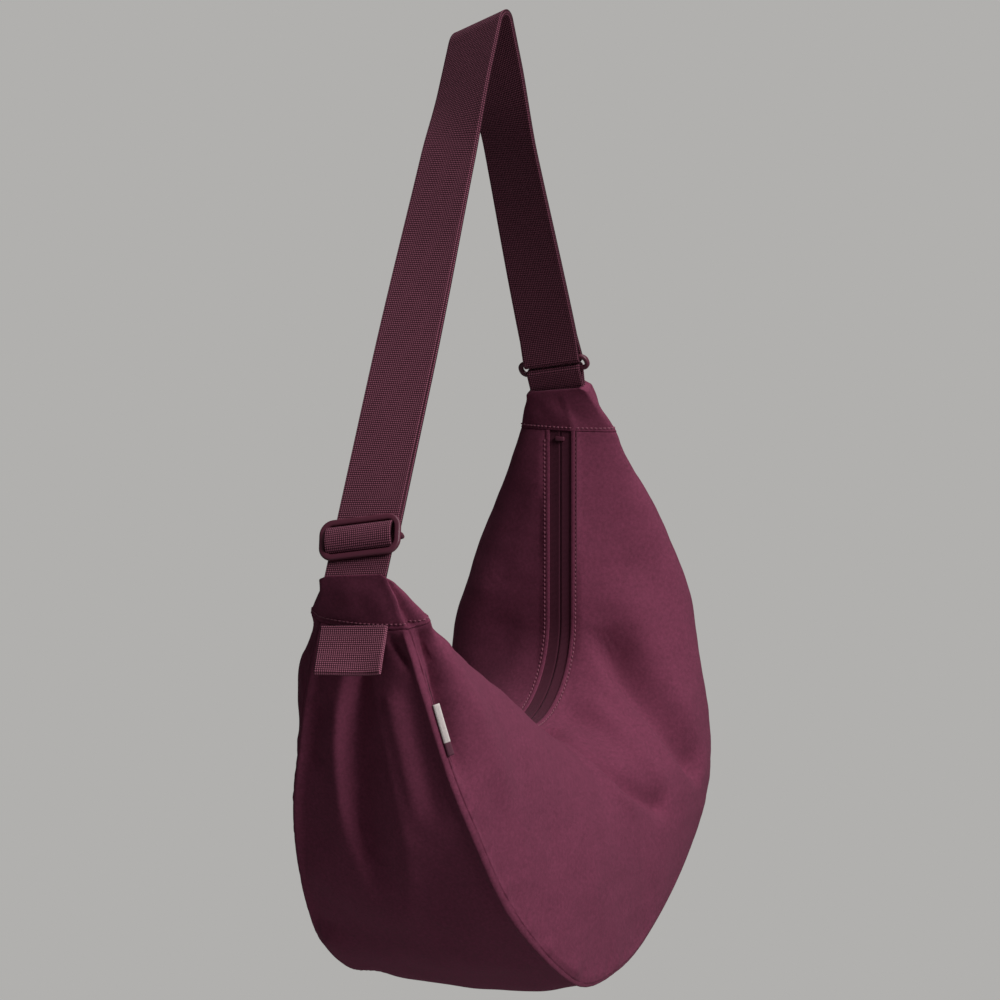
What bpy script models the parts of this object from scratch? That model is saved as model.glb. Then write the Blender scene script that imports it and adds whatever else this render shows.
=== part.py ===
"""Half moon shoulder bag, hanging by its strap from one hook under the crest.

Metres, +Z up. The origin is on the inner face of the strap crest, where the hook touches. +X runs from the
near tip to the far tip, and the front panel faces -Y. The body is described by sections: each one lies in
the plane of Y and of the ray from the mouth line to the middle of the gusset.
"""
import math

import bmesh
import bpy
import numpy as np

# Main sizes of the hanging bag: its length, the drop from the crest of the strap to its lowest seam, and
# its widths across the panels and the gusset.
BODY_SPAN = 0.366
BODY_DROP = 0.585
PANEL_HALF_WIDTH = 0.078
GUSSET_HALF_WIDTH = 0.086

# Places in the plane y = 0, as shares of the span and of the drop.
NEAR_CAP_TOP_SHARES = (-0.4366, 0.5393)
FAR_CAP_TOP_SHARES = (0.3087, 0.3915)
MOUTH_NEAR_START_SHARES = (-0.3306, 0.5658)
MOUTH_ARC_CENTRE_SHARES = (0.1694, 0.6496)
MOUTH_FAR_END_SHARES = (0.3210, 0.4376)
MOUTH_ARC_RADIUS = 0.0580
MOUTH_ARC_FROM_DEG = -120.0
MOUTH_ARC_TO_DEG = 0.0

# Middle line of the gusset, near tip first, as shares of the span and of the drop.
GUSSET_LINE_SHARES = (
    (-0.4071, 0.5855), (-0.3974, 0.6421), (-0.3842, 0.6936), (-0.3603, 0.7578), (-0.3252, 0.8110),
    (-0.2830, 0.8597), (-0.2211, 0.9105), (-0.1373, 0.9582), (-0.0429, 0.9893), (0.0657, 0.9891),
    (0.1900, 0.9725), (0.3427, 0.9242), (0.4693, 0.8623), (0.5307, 0.7877), (0.5428, 0.7019),
    (0.5308, 0.6069), (0.4615, 0.5164), (0.3843, 0.4385),
)

# Share of the way along the body, then shares of the half width of the gusset at its seams.
SEAM_PLACE_SHARES = (0.0, 0.05, 0.11, 0.163, 0.233, 0.33, 0.42, 0.5, 0.6, 0.7, 0.8, 0.87, 0.94, 1.0)
SEAM_WIDTH_SHARES = (
    0.3323, 0.4625, 0.5893, 0.7079, 0.8107, 0.9451, 0.9922, 0.9715, 0.9372, 0.8615,
    0.6849, 0.5300, 0.3916, 0.2770,
)

# Share of the way along the body, then shares of the half width of the panels.
PANEL_PLACE_SHARES = (0.0, 0.05, 0.1, 0.15, 0.2, 0.3, 0.4, 0.5, 0.6, 0.7, 0.75, 0.8, 0.85, 0.9, 0.95,
    1.0)
PANEL_WIDTH_SHARES = (
    0.4869, 0.5899, 0.6530, 0.6984, 0.7517, 0.8755, 0.9554, 0.9832, 0.9930, 0.9627,
    0.9276, 0.8481, 0.7701, 0.6535, 0.5292, 0.4083,
)
# Extra half width of the back panel at the same places, as shares of the largest.
BACK_EXTRA_WIDTH = 0.0152
BACK_EXTRA_SHARES = (
    0.002, -0.019, -0.059, -0.063, 0.020, 0.125, 0.257, 0.357, 0.552, 0.813,
    0.995, 0.820, 0.529, 0.347, 0.128, -0.088,
)

# Share of the way along the body, then shares of the fall of the panels beside the zip.
SHOULDER_FALL = 0.0275
SHOULDER_PLACE_SHARES = (0.0, 0.08, 0.2, 0.4, 0.55, 0.75, 1.0)
SHOULDER_FALL_SHARES = (0.999, 0.996, 0.874, 0.630, 0.378, 0.175, 0.058)

# Share of the way along the body, then shares of the outward bow of the gusset between its seams.
GUSSET_BOW = 0.010
BOW_PLACE_SHARES = (0.0, 0.12, 0.35, 0.6, 0.85, 1.0)
BOW_HEIGHT_SHARES = (0.400, 0.700, 1.000, 1.000, 0.700, 0.300)

LOW_CONTROL_SHARE = 0.58
MIDDLE_WEIGHT_SHARE = 0.75
END_WEIGHT_SHARE = 0.125

PANEL_THICKNESS = 0.0014
LINING_THICKNESS = 0.0008
LINING_DEPTH = 0.0048
GAP = 0.0004
PIPING_RADIUS = 0.0015
PIPING_CLEARANCE = 0.0020
ZIP_OPENING_HALF = 0.0096
TAPE_INNER_Y = 0.0030
TAPE_OUTER_Y = 0.0090
TAPE_TOP = -0.0004
TAPE_THICKNESS = 0.0008
COIL_CENTRE_Y = 0.0015
COIL_RADIUS = 0.0010
COIL_HEIGHT = 0.0002
WELT_CENTRE_Y = 0.0110
WELT_RADIUS = 0.0011
WELT_HEIGHT = 0.0006
WELT_CLEARANCE = 0.0030
ZIP_STOP_SIZE = (0.0030, 0.0060, 0.0024)
ZIP_END_INSET = 0.0040

SLIDER_LENGTH = 0.0100
SLIDER_WIDTH = 0.0080
SLIDER_PLATE = 0.0013
SLIDER_CHANNEL = 0.0016
SLIDER_NECK = (0.0022, 0.0006)
SLIDER_HOME = 0.0200
BAIL_SIZE = (0.0044, 0.0018, 0.0036)
BAIL_TUNNEL = (0.0024, 0.0040, 0.0022)
PULL_BAR = 0.0014
PULL_RING_WIDTH = 0.0062
PULL_RING_HOLE = (0.0030, 0.0030)
PULL_LENGTH = 0.0280
PULL_HINGE_HEIGHT = 0.0048

# Strap.
WEBBING_WIDTH = 0.040
WEBBING_THICKNESS = 0.0015
LAYER_PITCH = 0.0018
CREST_INNER_RADIUS = 0.0070
CREST_SLANT_DEG = 21.0
CREST_BLEND_START = 0.030
CREST_BLEND_END = 0.078
CREST_TWIST_DEG = 13.0
TWIST_BLEND_START = 0.050
TWIST_BLEND_END = 0.205
CAP_TOP_WIDTH = 0.0430
CAP_TOP_DEPTH = 0.0092
CAP_THICKNESS = 0.0013
CAP_CORNER_SHARE = 0.34
NEAR_CAP_TILT_DEG = 6.0
FAR_CAP_TILT_DEG = 8.0
END_SKEW_START = 0.022
END_SKEW_END = 0.090
SEWN_DEPTH = 0.0006

# The adjuster on the near leg.
ADJUSTER_WIDTH = 0.0520
ADJUSTER_HEIGHT = 0.0250
ADJUSTER_BAR = 0.0044
ADJUSTER_BAR_DEPTH = 0.0030
ADJUSTER_CORNER = 0.0075
MIDDLE_BAR_RADIUS = 0.0016
LAYER_CLEARANCE = 0.0004
NEAR_ADJUSTER_RISE = 0.0240
NEAR_ADJUSTER_SIDE_SHIFT = 0.0013
NEAR_ADJUSTER_TILT_DEG = 11.0
FOLD_HALF_LENGTH = 0.0052
FOLD_WIDTH = 0.0380
FOLD_HEIGHT = 0.0056
END_TAIL = 0.0120
END_LOOP_CLEARANCE = 0.0004

# The ring above the far cap. The strap turns round its upper bar and the tab of the cap round its lower one.
RING_WIDTH = 0.0510
RING_BAR_RADIUS = 0.0015
RING_BAR_SPREAD = 0.0038
RING_RISE = 0.0148
RING_SPREAD_LENGTH = 0.0160
TAB_WIDTH = 0.0380
RING_TILT_DEG = 11.0

# Loop under the near cap, and the label in the front seam.
LOOP_STAND = 0.0082
LOOP_FALL = 0.0020
LOOP_SIDE_SHIFT = 0.0020
LOOP_WIDTH = 0.0425
LOOP_DROP = 0.0300
LOOP_LEAN_DEG = 24.0
LOOP_TILT_DEG = 5.0
LOOP_THICKNESS = 0.0032
LABEL_SHARE = 0.083
LABEL_LENGTH = 0.0320
LABEL_WIDTH = 0.0060
LABEL_THICKNESS = 0.0006
LABEL_STAND = 0.0026

# Pocket inside, on the lining of the back panel.
POCKET_SHARES_ALONG = (0.34, 0.62)
POCKET_SHARES_DOWN = (0.30, 0.66)
POCKET_DEPTH = 0.0096
POCKET_THICKNESS = 0.0010

BODY_STATIONS = 38
PANEL_ROWS = 12
GUSSET_ROWS = 8
LINING_STATIONS = 22
LINING_ROWS = 7
CURVE_SAMPLES = 160
RING_POINTS = 36
TUBE_SIDES = 6
STRAP_STRIPS = 6


def smooth_curve(points, count):
    """Run a smooth curve through the points, evenly spaced by length."""
    pts = np.array(points, dtype=float)
    padded = np.vstack([2.0 * pts[0] - pts[1], pts, 2.0 * pts[-1] - pts[-2]])
    out = []
    for i in range(1, len(padded) - 2):
        p0, p1, p2, p3 = padded[i - 1:i + 3]
        for step in range(24):
            u = step / 24.0
            out.append(0.5 * ((2.0 * p1) + (p2 - p0) * u + (2.0 * p0 - 5.0 * p1 + 4.0 * p2 - p3) * u ** 2
                              + (3.0 * p1 - p0 - 3.0 * p2 + p3) * u ** 3))
    out.append(padded[-2])
    return resample(np.array(out), count)


def resample(points, count):
    """Space the points of an open line evenly by length."""
    steps = np.linalg.norm(np.diff(points, axis=0), axis=1)
    along = np.concatenate([[0.0], np.cumsum(steps)])
    wanted = np.linspace(0.0, along[-1], count)
    return np.stack([np.interp(wanted, along, points[:, k]) for k in range(points.shape[1])], axis=1)


def table(shares, values, t):
    """Read a smooth value from a table of shares."""
    shares = np.array(shares)
    values = np.array(values)
    slopes = np.gradient(values, shares)
    i = int(np.clip(np.searchsorted(shares, t) - 1, 0, len(shares) - 2))
    span = shares[i + 1] - shares[i]
    u = (t - shares[i]) / span
    low = (2.0 * u ** 3 - 3.0 * u ** 2 + 1.0) * values[i] + (u ** 3 - 2.0 * u ** 2 + u) * span * slopes[i]
    high = (3.0 * u ** 2 - 2.0 * u ** 3) * values[i + 1] + (u ** 3 - u ** 2) * span * slopes[i + 1]
    return float(low + high)


def hung(shares):
    """Turn shares of the span and of the drop into a place in x and z."""
    return BODY_SPAN * shares[0], -BODY_DROP * shares[1]


NEAR_CAP_TOP = hung(NEAR_CAP_TOP_SHARES)
FAR_CAP_TOP = hung(FAR_CAP_TOP_SHARES)
MOUTH_NEAR_START = hung(MOUTH_NEAR_START_SHARES)
MOUTH_ARC_CENTRE = hung(MOUTH_ARC_CENTRE_SHARES)


def mouth_line():
    """Return the mouth line as evenly spaced points in x and z, and the end of its straight near leg."""
    angles = np.radians(np.linspace(MOUTH_ARC_FROM_DEG, MOUTH_ARC_TO_DEG, 30))
    arc = np.stack([MOUTH_ARC_CENTRE[0] + MOUTH_ARC_RADIUS * np.cos(angles),
                    MOUTH_ARC_CENTRE[1] + MOUTH_ARC_RADIUS * np.sin(angles)], axis=1)
    near = np.linspace(MOUTH_NEAR_START, arc[0], 40)[:-1]
    far = np.linspace(arc[-1], hung(MOUTH_FAR_END_SHARES), 30)[1:]
    return resample(np.vstack([near, arc, far]), CURVE_SAMPLES), arc[0]


MOUTH, MOUTH_NEAR_END = mouth_line()
OUTER = smooth_curve([hung(shares) for shares in GUSSET_LINE_SHARES], CURVE_SAMPLES)
LOOP_HINGE = (OUTER[0][0] - LOOP_STAND, OUTER[0][1] - LOOP_FALL)


def on_line(line, t):
    """Return the point at share t of a line."""
    where = t * (len(line) - 1)
    low = int(min(math.floor(where), len(line) - 2))
    return line[low] + (line[low + 1] - line[low]) * (where - low)


def tangent_of(line, t):
    """Return the unit direction of a line at share t."""
    step = 0.5 / (len(line) - 1)
    way = on_line(line, min(1.0, t + step)) - on_line(line, max(0.0, t - step))
    return way / np.linalg.norm(way)


def station(t):
    """Return the start, unit ray and ray length of the section at share t."""
    start = on_line(MOUTH, t)
    ray = on_line(OUTER, t) - start
    length = float(np.linalg.norm(ray))
    return start, ray / length, length


def place(t, flat):
    """Turn section points (depth along the ray, y) into points in space."""
    start, ray, _ = station(t)
    flat = np.atleast_2d(flat)
    return np.stack([start[0] + ray[0] * flat[:, 0], flat[:, 1], start[1] + ray[1] * flat[:, 0]], axis=1)


def panel_curve(t, side=1.0):
    """Return a panel section from the zip opening to the seam, drawn on the -Y side; side -1 is the back."""
    length = station(t)[2]
    half = GUSSET_HALF_WIDTH * table(SEAM_PLACE_SHARES, SEAM_WIDTH_SHARES, t)
    bulge = PANEL_HALF_WIDTH * table(PANEL_PLACE_SHARES, PANEL_WIDTH_SHARES, t)
    if side < 0.0:
        bulge += BACK_EXTRA_WIDTH * table(PANEL_PLACE_SHARES, BACK_EXTRA_SHARES, t)
    fall = SHOULDER_FALL * table(SHOULDER_PLACE_SHARES, SHOULDER_FALL_SHARES, t)
    middle = (bulge - END_WEIGHT_SHARE * (ZIP_OPENING_HALF + half)) / MIDDLE_WEIGHT_SHARE
    u = np.linspace(0.0, 1.0, 60)
    b0, b1, b2, b3 = (1.0 - u) ** 3, 3.0 * (1.0 - u) ** 2 * u, 3.0 * (1.0 - u) * u ** 2, u ** 3
    depth = fall * b1 + LOW_CONTROL_SHARE * length * b2 + length * b3
    across = ZIP_OPENING_HALF * b0 + middle * (b1 + b2) + half * b3
    return np.stack([depth, -across], axis=1)


def gusset_curve(t):
    """Return the section of the gusset from the front seam to the back seam."""
    length = station(t)[2]
    half = GUSSET_HALF_WIDTH * table(SEAM_PLACE_SHARES, SEAM_WIDTH_SHARES, t)
    bow = GUSSET_BOW * table(BOW_PLACE_SHARES, BOW_HEIGHT_SHARES, t)
    v = np.linspace(-1.0, 1.0, 41)
    return np.stack([length + bow * (1.0 - v ** 2), half * v], axis=1)


def trimmed(curve, start_trim, end_trim, count):
    """Cut a length off both ends of a section curve and space it evenly."""
    steps = np.linalg.norm(np.diff(curve, axis=0), axis=1)
    along = np.concatenate([[0.0], np.cumsum(steps)])
    wanted = np.linspace(start_trim, along[-1] - end_trim, count)
    return np.stack([np.interp(wanted, along, curve[:, k]) for k in range(2)], axis=1)


def offset(curve, distance):
    """Move a section curve to its left-hand side by a distance."""
    way = np.gradient(curve, axis=0)
    way /= np.linalg.norm(way, axis=1)[:, None]
    return curve + np.stack([way[:, 1], -way[:, 0]], axis=1) * distance


def material(name, colour, roughness, metallic):
    """Make a Principled material."""
    made = bpy.data.materials.new(name)
    made.use_nodes = True
    shader = made.node_tree.nodes["Principled BSDF"]
    shader.inputs["Base Color"].default_value = (*colour, 1.0)
    shader.inputs["Roughness"].default_value = roughness
    shader.inputs["Metallic"].default_value = metallic
    made.diffuse_color = (*colour, 1.0)
    return made


def add_object(name, verts, faces, look):
    """Make one closed object with outward faces."""
    mesh = bpy.data.meshes.new(name)
    mesh.from_pydata([tuple(float(c) for c in v) for v in verts], [], faces)
    bm = bmesh.new()
    bm.from_mesh(mesh)
    bmesh.ops.recalc_face_normals(bm, faces=bm.faces)
    if bm.calc_volume(signed=True) < 0.0:
        bmesh.ops.reverse_faces(bm, faces=bm.faces)
    bm.to_mesh(mesh)
    bm.free()
    obj = bpy.data.objects.new(name, mesh)
    bpy.context.scene.collection.objects.link(obj)
    mesh.materials.append(look)
    return obj


def add_shell(name, outer, inner, look):
    """Close two matching grids of points into one shell."""
    rows, cols = outer.shape[:2]
    verts = np.vstack([outer.reshape(-1, 3), inner.reshape(-1, 3)])
    shift = rows * cols
    faces = []
    for i in range(rows - 1):
        for j in range(cols - 1):
            a, b, c, d = i * cols + j, i * cols + j + 1, (i + 1) * cols + j + 1, (i + 1) * cols + j
            faces.append((a, b, c, d))
            faces.append((a + shift, d + shift, c + shift, b + shift))
    rim = [j for j in range(cols)] + [i * cols + cols - 1 for i in range(1, rows)]
    rim += [(rows - 1) * cols + j for j in range(cols - 2, -1, -1)]
    rim += [i * cols for i in range(rows - 2, 0, -1)]
    for k, a in enumerate(rim):
        b = rim[(k + 1) % len(rim)]
        faces.append((a, a + shift, b + shift, b))
    return add_object(name, verts, faces, look)


def add_rings(name, rings, look, closed_ends=True):
    """Join closed rings of points into one solid."""
    count = len(rings[0])
    verts = np.vstack(rings)
    faces = []
    for i in range(len(rings) - 1):
        for j in range(count):
            k = (j + 1) % count
            faces.append((i * count + j, i * count + k, (i + 1) * count + k, (i + 1) * count + j))
    if closed_ends:
        faces.append(tuple(range(count)))
        last = (len(rings) - 1) * count
        faces.append(tuple(last + j for j in range(count - 1, -1, -1)))
    else:
        last = (len(rings) - 1) * count
        for j in range(count):
            k = (j + 1) % count
            faces.append((last + j, last + k, k, j))
    return add_object(name, verts, faces, look)


def tube_rings(path, half_up, half_side, side_way, sides):
    """Return oval rings along a path, with one axis held to side_way."""
    path = np.array(path, dtype=float)
    ways = np.gradient(path, axis=0)
    ways /= np.linalg.norm(ways, axis=1)[:, None]
    rings = []
    for point, way in zip(path, ways):
        side = np.array(side_way, dtype=float)
        side -= way * float(side @ way)
        side /= np.linalg.norm(side)
        up = np.cross(way, side)
        ring = []
        for k in range(sides):
            angle = 2.0 * math.pi * (k + 0.5) / sides
            ring.append(point + side * half_side * math.cos(angle) + up * half_up * math.sin(angle))
        rings.append(np.array(ring))
    return rings


def ribbon_rings(path, width, thickness, strips=1, across=(0.0, 1.0, 0.0)):
    """Return flat rings along a path of points, with the width along one direction."""
    shares = np.linspace(-0.5, 0.5, strips + 1)
    corners = [(a, -0.5) for a in shares] + [(a, 0.5) for a in shares[::-1]]
    path = np.array(path, dtype=float)
    ways = np.gradient(path, axis=0)
    rings = []
    across = np.array(across, dtype=float)
    for point, way in zip(path, ways):
        up = np.cross(way, across)
        up /= np.linalg.norm(up)
        rings.append(np.array([point + across * width * a + up * thickness * b
                               for a, b in corners]))
    return rings


def box_object(name, centre, size, axes, look):
    """Make a box from its centre, its full sizes and three unit axes."""
    corners = []
    for a, b, c in ((-1, -1, -1), (1, -1, -1), (1, 1, -1), (-1, 1, -1), (-1, -1, 1), (1, -1, 1), (1, 1, 1),
                    (-1, 1, 1)):
        corners.append(np.array(centre) + axes[0] * size[0] * a * 0.5 + axes[1] * size[1] * b * 0.5
                       + axes[2] * size[2] * c * 0.5)
    faces = [(0, 1, 2, 3), (7, 6, 5, 4), (0, 4, 5, 1), (1, 5, 6, 2), (2, 6, 7, 3), (3, 7, 4, 0)]
    return add_object(name, corners, faces, look)


def combine(target, other, operation):
    """Apply a Boolean with another object and remove that object."""
    bpy.context.view_layer.update()
    change = target.modifiers.new("cut", "BOOLEAN")
    change.operation = operation
    change.solver = "EXACT"
    change.object = other
    graph = bpy.context.evaluated_depsgraph_get()
    result = bpy.data.meshes.new_from_object(target.evaluated_get(graph))
    target.modifiers.clear()
    old = target.data
    look = old.materials[0]
    target.data = result
    result.materials.clear()
    result.materials.append(look)
    result.name = target.name
    bpy.data.meshes.remove(old)
    bpy.data.objects.remove(other, do_unlink=True)
    return target


def body_shares(count, inset):
    """Return shares along the body, kept a distance clear of both caps."""
    length = np.linalg.norm(MOUTH[-1] - MOUTH[0])
    edge = inset / float(length)
    return np.linspace(edge, 1.0 - edge, count)


def panel_grid(shares, rows, start_trim, end_trim, depth, side):
    """Return a grid of panel points at a depth under the outer face."""
    grid = []
    for t in shares:
        curve = trimmed(offset(panel_curve(t, side), -depth), start_trim, end_trim, rows)
        grid.append(place(t, curve * (1.0, side)))
    return np.array(grid)


def gusset_grid(shares, rows, trim, depth):
    """Return a grid of gusset points at a depth under the outer face."""
    return np.array([place(t, trimmed(offset(gusset_curve(t), -depth), trim, trim, rows)) for t in shares])


def build_body(looks):
    """Build the panels, the gusset, the piping and the lining."""
    shares = body_shares(BODY_STATIONS, GAP * 2.0)
    inner = body_shares(LINING_STATIONS, GAP * 4.0)
    for word, side in (("front", 1.0), ("back", -1.0)):
        outside = panel_grid(shares, PANEL_ROWS, WELT_CLEARANCE, PIPING_CLEARANCE, 0.0, side)
        inside = panel_grid(shares, PANEL_ROWS, WELT_CLEARANCE, PIPING_CLEARANCE, PANEL_THICKNESS, side)
        add_shell(word + "_panel", outside, inside, looks[word + "_panel"])
        trims = (WELT_CLEARANCE, PIPING_CLEARANCE + LINING_DEPTH)
        outside = panel_grid(inner, LINING_ROWS, *trims, LINING_DEPTH, side)
        inside = panel_grid(inner, LINING_ROWS, *trims, LINING_DEPTH + LINING_THICKNESS, side)
        add_shell(word + "_lining", outside, inside, looks[word + "_lining"])
        seam = [place(t, panel_curve(t)[-1] * (1.0, side))[0] for t in shares]
        rings = tube_rings(seam, PIPING_RADIUS, PIPING_RADIUS, (0.0, 1.0, 0.0), TUBE_SIDES)
        add_rings(word + "_piping", rings, looks[word + "_piping"])
    outside = gusset_grid(shares, GUSSET_ROWS, PIPING_CLEARANCE, 0.0)
    inside = gusset_grid(shares, GUSSET_ROWS, PIPING_CLEARANCE, PANEL_THICKNESS)
    add_shell("gusset_panel", outside, inside, looks["gusset_panel"])
    trim = PIPING_CLEARANCE + LINING_DEPTH
    outside = gusset_grid(inner, LINING_ROWS, trim, LINING_DEPTH)
    inside = gusset_grid(inner, LINING_ROWS, trim, LINING_DEPTH + LINING_THICKNESS)
    add_shell("gusset_lining", outside, inside, looks["gusset_lining"])


def build_pocket(looks):
    """Build the flat pocket on the lining of the back panel."""
    outside = []
    inside = []
    for t in np.linspace(*POCKET_SHARES_ALONG, 12):
        for grid, depth in ((outside, POCKET_DEPTH), (inside, POCKET_DEPTH + POCKET_THICKNESS)):
            curve = offset(panel_curve(t, -1.0), -depth)
            low, high = (int(share * (len(curve) - 1)) for share in POCKET_SHARES_DOWN)
            grid.append(place(t, resample(curve[low:high + 1], 8) * (1.0, -1.0)))
    add_shell("inner_pocket", np.array(outside), np.array(inside), looks["inner_pocket"])


def mouth_frame(t):
    """Return the point, the direction and the outward normal of the mouth line at share t."""
    point = on_line(MOUTH, t)
    way = tangent_of(MOUTH, t)
    return (np.array([point[0], 0.0, point[1]]), np.array([way[0], 0.0, way[1]]),
            np.array([-way[1], 0.0, way[0]]))


def build_mouth(looks):
    """Build the zip tapes, the coils, the welts and the end stops."""
    shares = body_shares(BODY_STATIONS, ZIP_END_INSET)
    frames = [mouth_frame(t) for t in shares]
    across = np.array([0.0, 1.0, 0.0])
    for word, side in (("front", -1.0), ("back", 1.0)):
        rings = []
        for point, _, up in frames:
            corners = ((TAPE_INNER_Y, TAPE_TOP), (TAPE_OUTER_Y, TAPE_TOP),
                       (TAPE_OUTER_Y, TAPE_TOP - TAPE_THICKNESS), (TAPE_INNER_Y, TAPE_TOP - TAPE_THICKNESS))
            rings.append(np.array([point + across * side * y + up * h for y, h in corners]))
        add_rings(word + "_zip_tape", rings, looks[word + "_zip_tape"])
        line = [point + across * side * COIL_CENTRE_Y + up * COIL_HEIGHT for point, _, up in frames]
        rings = tube_rings(line, COIL_RADIUS, COIL_RADIUS, across, TUBE_SIDES)
        add_rings(word + "_zip_coil", rings, looks[word + "_zip_coil"])
        line = [point + across * side * WELT_CENTRE_Y + up * WELT_HEIGHT for point, _, up in frames]
        rings = tube_rings(line, WELT_RADIUS, WELT_RADIUS, across, TUBE_SIDES)
        add_rings(word + "_zip_welt", rings, looks[word + "_zip_welt"])
    for name, frame, way in (("near_zip_stop", frames[0], -1.0), ("far_zip_stop", frames[-1], 1.0)):
        point, along, up = frame
        centre = point + along * way * (ZIP_STOP_SIZE[0] * 0.5 + GAP)
        box_object(name, centre, ZIP_STOP_SIZE, (along, across, up), looks[name])


def build_slider(looks):
    """Build the zip slider and its pull tab at the near end of the mouth."""
    start = np.array([MOUTH_NEAR_START[0], 0.0, MOUTH_NEAR_START[1]])
    end = np.array([MOUTH_NEAR_END[0], 0.0, MOUTH_NEAR_END[1]])
    along = (end - start) / np.linalg.norm(end - start)
    across = np.array([0.0, 1.0, 0.0])
    up = np.array([-along[2], 0.0, along[0]])
    axes = (along, across, up)
    home = start + along * SLIDER_HOME
    size = (SLIDER_LENGTH, SLIDER_WIDTH, SLIDER_PLATE)
    lift = SLIDER_CHANNEL + SLIDER_PLATE * 0.5
    slider = box_object("zip_slider", home + up * lift, size, axes, looks["zip_slider"])
    lower = box_object("lower", home - up * lift, size, axes, looks["zip_slider"])
    combine(slider, lower, "UNION")
    neck_centre = home - along * (SLIDER_LENGTH * 0.5 - SLIDER_NECK[0])
    neck = box_object("neck", neck_centre, (*SLIDER_NECK, SLIDER_CHANNEL * 2.0 + SLIDER_PLATE), axes,
                      looks["zip_slider"])
    combine(slider, neck, "UNION")
    bail_centre = home + up * (PULL_HINGE_HEIGHT - GAP)
    bail = box_object("bail", bail_centre, BAIL_SIZE, axes, looks["zip_slider"])
    tunnel = box_object("tunnel", home + up * PULL_HINGE_HEIGHT, BAIL_TUNNEL, axes, looks["zip_slider"])
    combine(bail, tunnel, "DIFFERENCE")
    combine(slider, bail, "UNION")
    hinge = home + up * PULL_HINGE_HEIGHT
    middle = hinge + along * (PULL_LENGTH * 0.5 - PULL_BAR * 0.5)
    pull = box_object("zip_pull", middle, (PULL_LENGTH, PULL_RING_WIDTH, PULL_BAR), axes, looks["zip_pull"])
    hole_centre = hinge + along * (PULL_BAR * 0.5 + PULL_RING_HOLE[0] * 0.5)
    hole = box_object("hole", hole_centre, (*PULL_RING_HOLE, PULL_RING_WIDTH), axes, looks["zip_pull"])
    combine(pull, hole, "DIFFERENCE")


def outline(t, grow):
    """Return the closed section outline at share t, moved outward."""
    front = panel_curve(t)
    half = gusset_curve(t)
    back = panel_curve(t, -1.0)[::-1] * (1.0, -1.0)
    loop = np.vstack([[0.0, 0.0], front, half[1:-1], back, [0.0, 0.0]])
    loop = resample(loop, RING_POINTS + 1)
    moved = loop[:-1]
    way = np.roll(moved, -1, axis=0) - np.roll(moved, 1, axis=0)
    way /= np.linalg.norm(way, axis=1)[:, None]
    return moved + np.stack([way[:, 1], -way[:, 0]], axis=1) * grow


def flat_ring(width, depth):
    """Return a rounded flat loop with the same order of points as the section outline."""
    angles = np.linspace(0.0, 2.0 * math.pi, 400)
    power = CAP_CORNER_SHARE
    x = -np.sign(np.cos(angles)) * np.abs(np.cos(angles)) ** power * depth * 0.5
    y = -np.sign(np.sin(angles)) * np.abs(np.sin(angles)) ** power * width * 0.5
    return resample(np.stack([x, y], axis=1), RING_POINTS + 1)[:-1]


def build_cap(name, t, top, tilt_deg, looks):
    """Build the tapered sleeve round one tip; the tilt lifts the front end of its top edge."""
    leg = np.array(top) / np.linalg.norm(top)
    out = np.array([leg[1], -leg[0]])
    if out[0] * top[0] < 0.0:
        out = -out
    walls = []
    for grow in (0.0, CAP_THICKNESS):
        low = place(t, outline(t, grow))
        inset = 0.0 if grow > 0.0 else CAP_THICKNESS * 2.0
        flat = flat_ring(CAP_TOP_WIDTH - inset * 0.5, CAP_TOP_DEPTH - inset * 1.4)
        lift = -flat[:, 1] * math.tan(math.radians(tilt_deg))
        high = np.stack([top[0] + out[0] * flat[:, 0] - leg[0] * lift, flat[:, 1],
                         top[1] + out[1] * flat[:, 0] - leg[1] * lift], axis=1)
        walls.append([high + (low - high) * share for share in np.linspace(0.0, 1.0, 5)])
    rings = walls[1] + walls[0][::-1]
    add_rings(name, rings, looks[name], closed_ends=False)


def tangent_leg(top, radius):
    """Return the touch point and the direction of a leg from the crest circle to a cap top."""
    centre = np.array([0.0, -CREST_INNER_RADIUS])
    way = np.array(top) - centre
    reach = float(np.linalg.norm(way))
    angle = math.atan2(way[1], way[0])
    swing = math.acos(radius / reach)
    sign = 1.0 if top[0] > 0.0 else -1.0
    touch_angle = (angle + sign * swing) % (2.0 * math.pi)
    touch = centre + radius * np.array([math.cos(touch_angle), math.sin(touch_angle)])
    leg = np.array(top) - touch
    return touch_angle, touch, leg / np.linalg.norm(leg)


INNER_LAYER_RADIUS = CREST_INNER_RADIUS + WEBBING_THICKNESS * 0.5
OUTER_LAYER_RADIUS = INNER_LAYER_RADIUS + LAYER_PITCH
NEAR_ANGLE, NEAR_TOUCH, NEAR_LEG = tangent_leg(NEAR_CAP_TOP, OUTER_LAYER_RADIUS)
FAR_ANGLE, FAR_TOUCH, FAR_LEG = tangent_leg(FAR_CAP_TOP, INNER_LAYER_RADIUS)


def fading(depth, start, end):
    """Return 1 above the start depth and 0 below the end depth, with a smooth change between."""
    share = np.clip((depth - start) / (end - start), 0.0, 1.0)
    return 1.0 - share * share * (3.0 - 2.0 * share)


def slant(points):
    """Turn the crest about the vertical and lift its front edge, fading out down the legs."""
    out = np.array(points, dtype=float)
    turn = math.radians(CREST_TWIST_DEG) * fading(-out[:, 2], TWIST_BLEND_START, TWIST_BLEND_END)
    lift = math.tan(math.radians(CREST_SLANT_DEG)) * fading(-out[:, 2], CREST_BLEND_START, CREST_BLEND_END)
    out[:, 0] += out[:, 1] * np.sin(turn)
    out[:, 2] -= out[:, 1] * lift
    out[:, 1] *= np.cos(turn)
    return out


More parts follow.
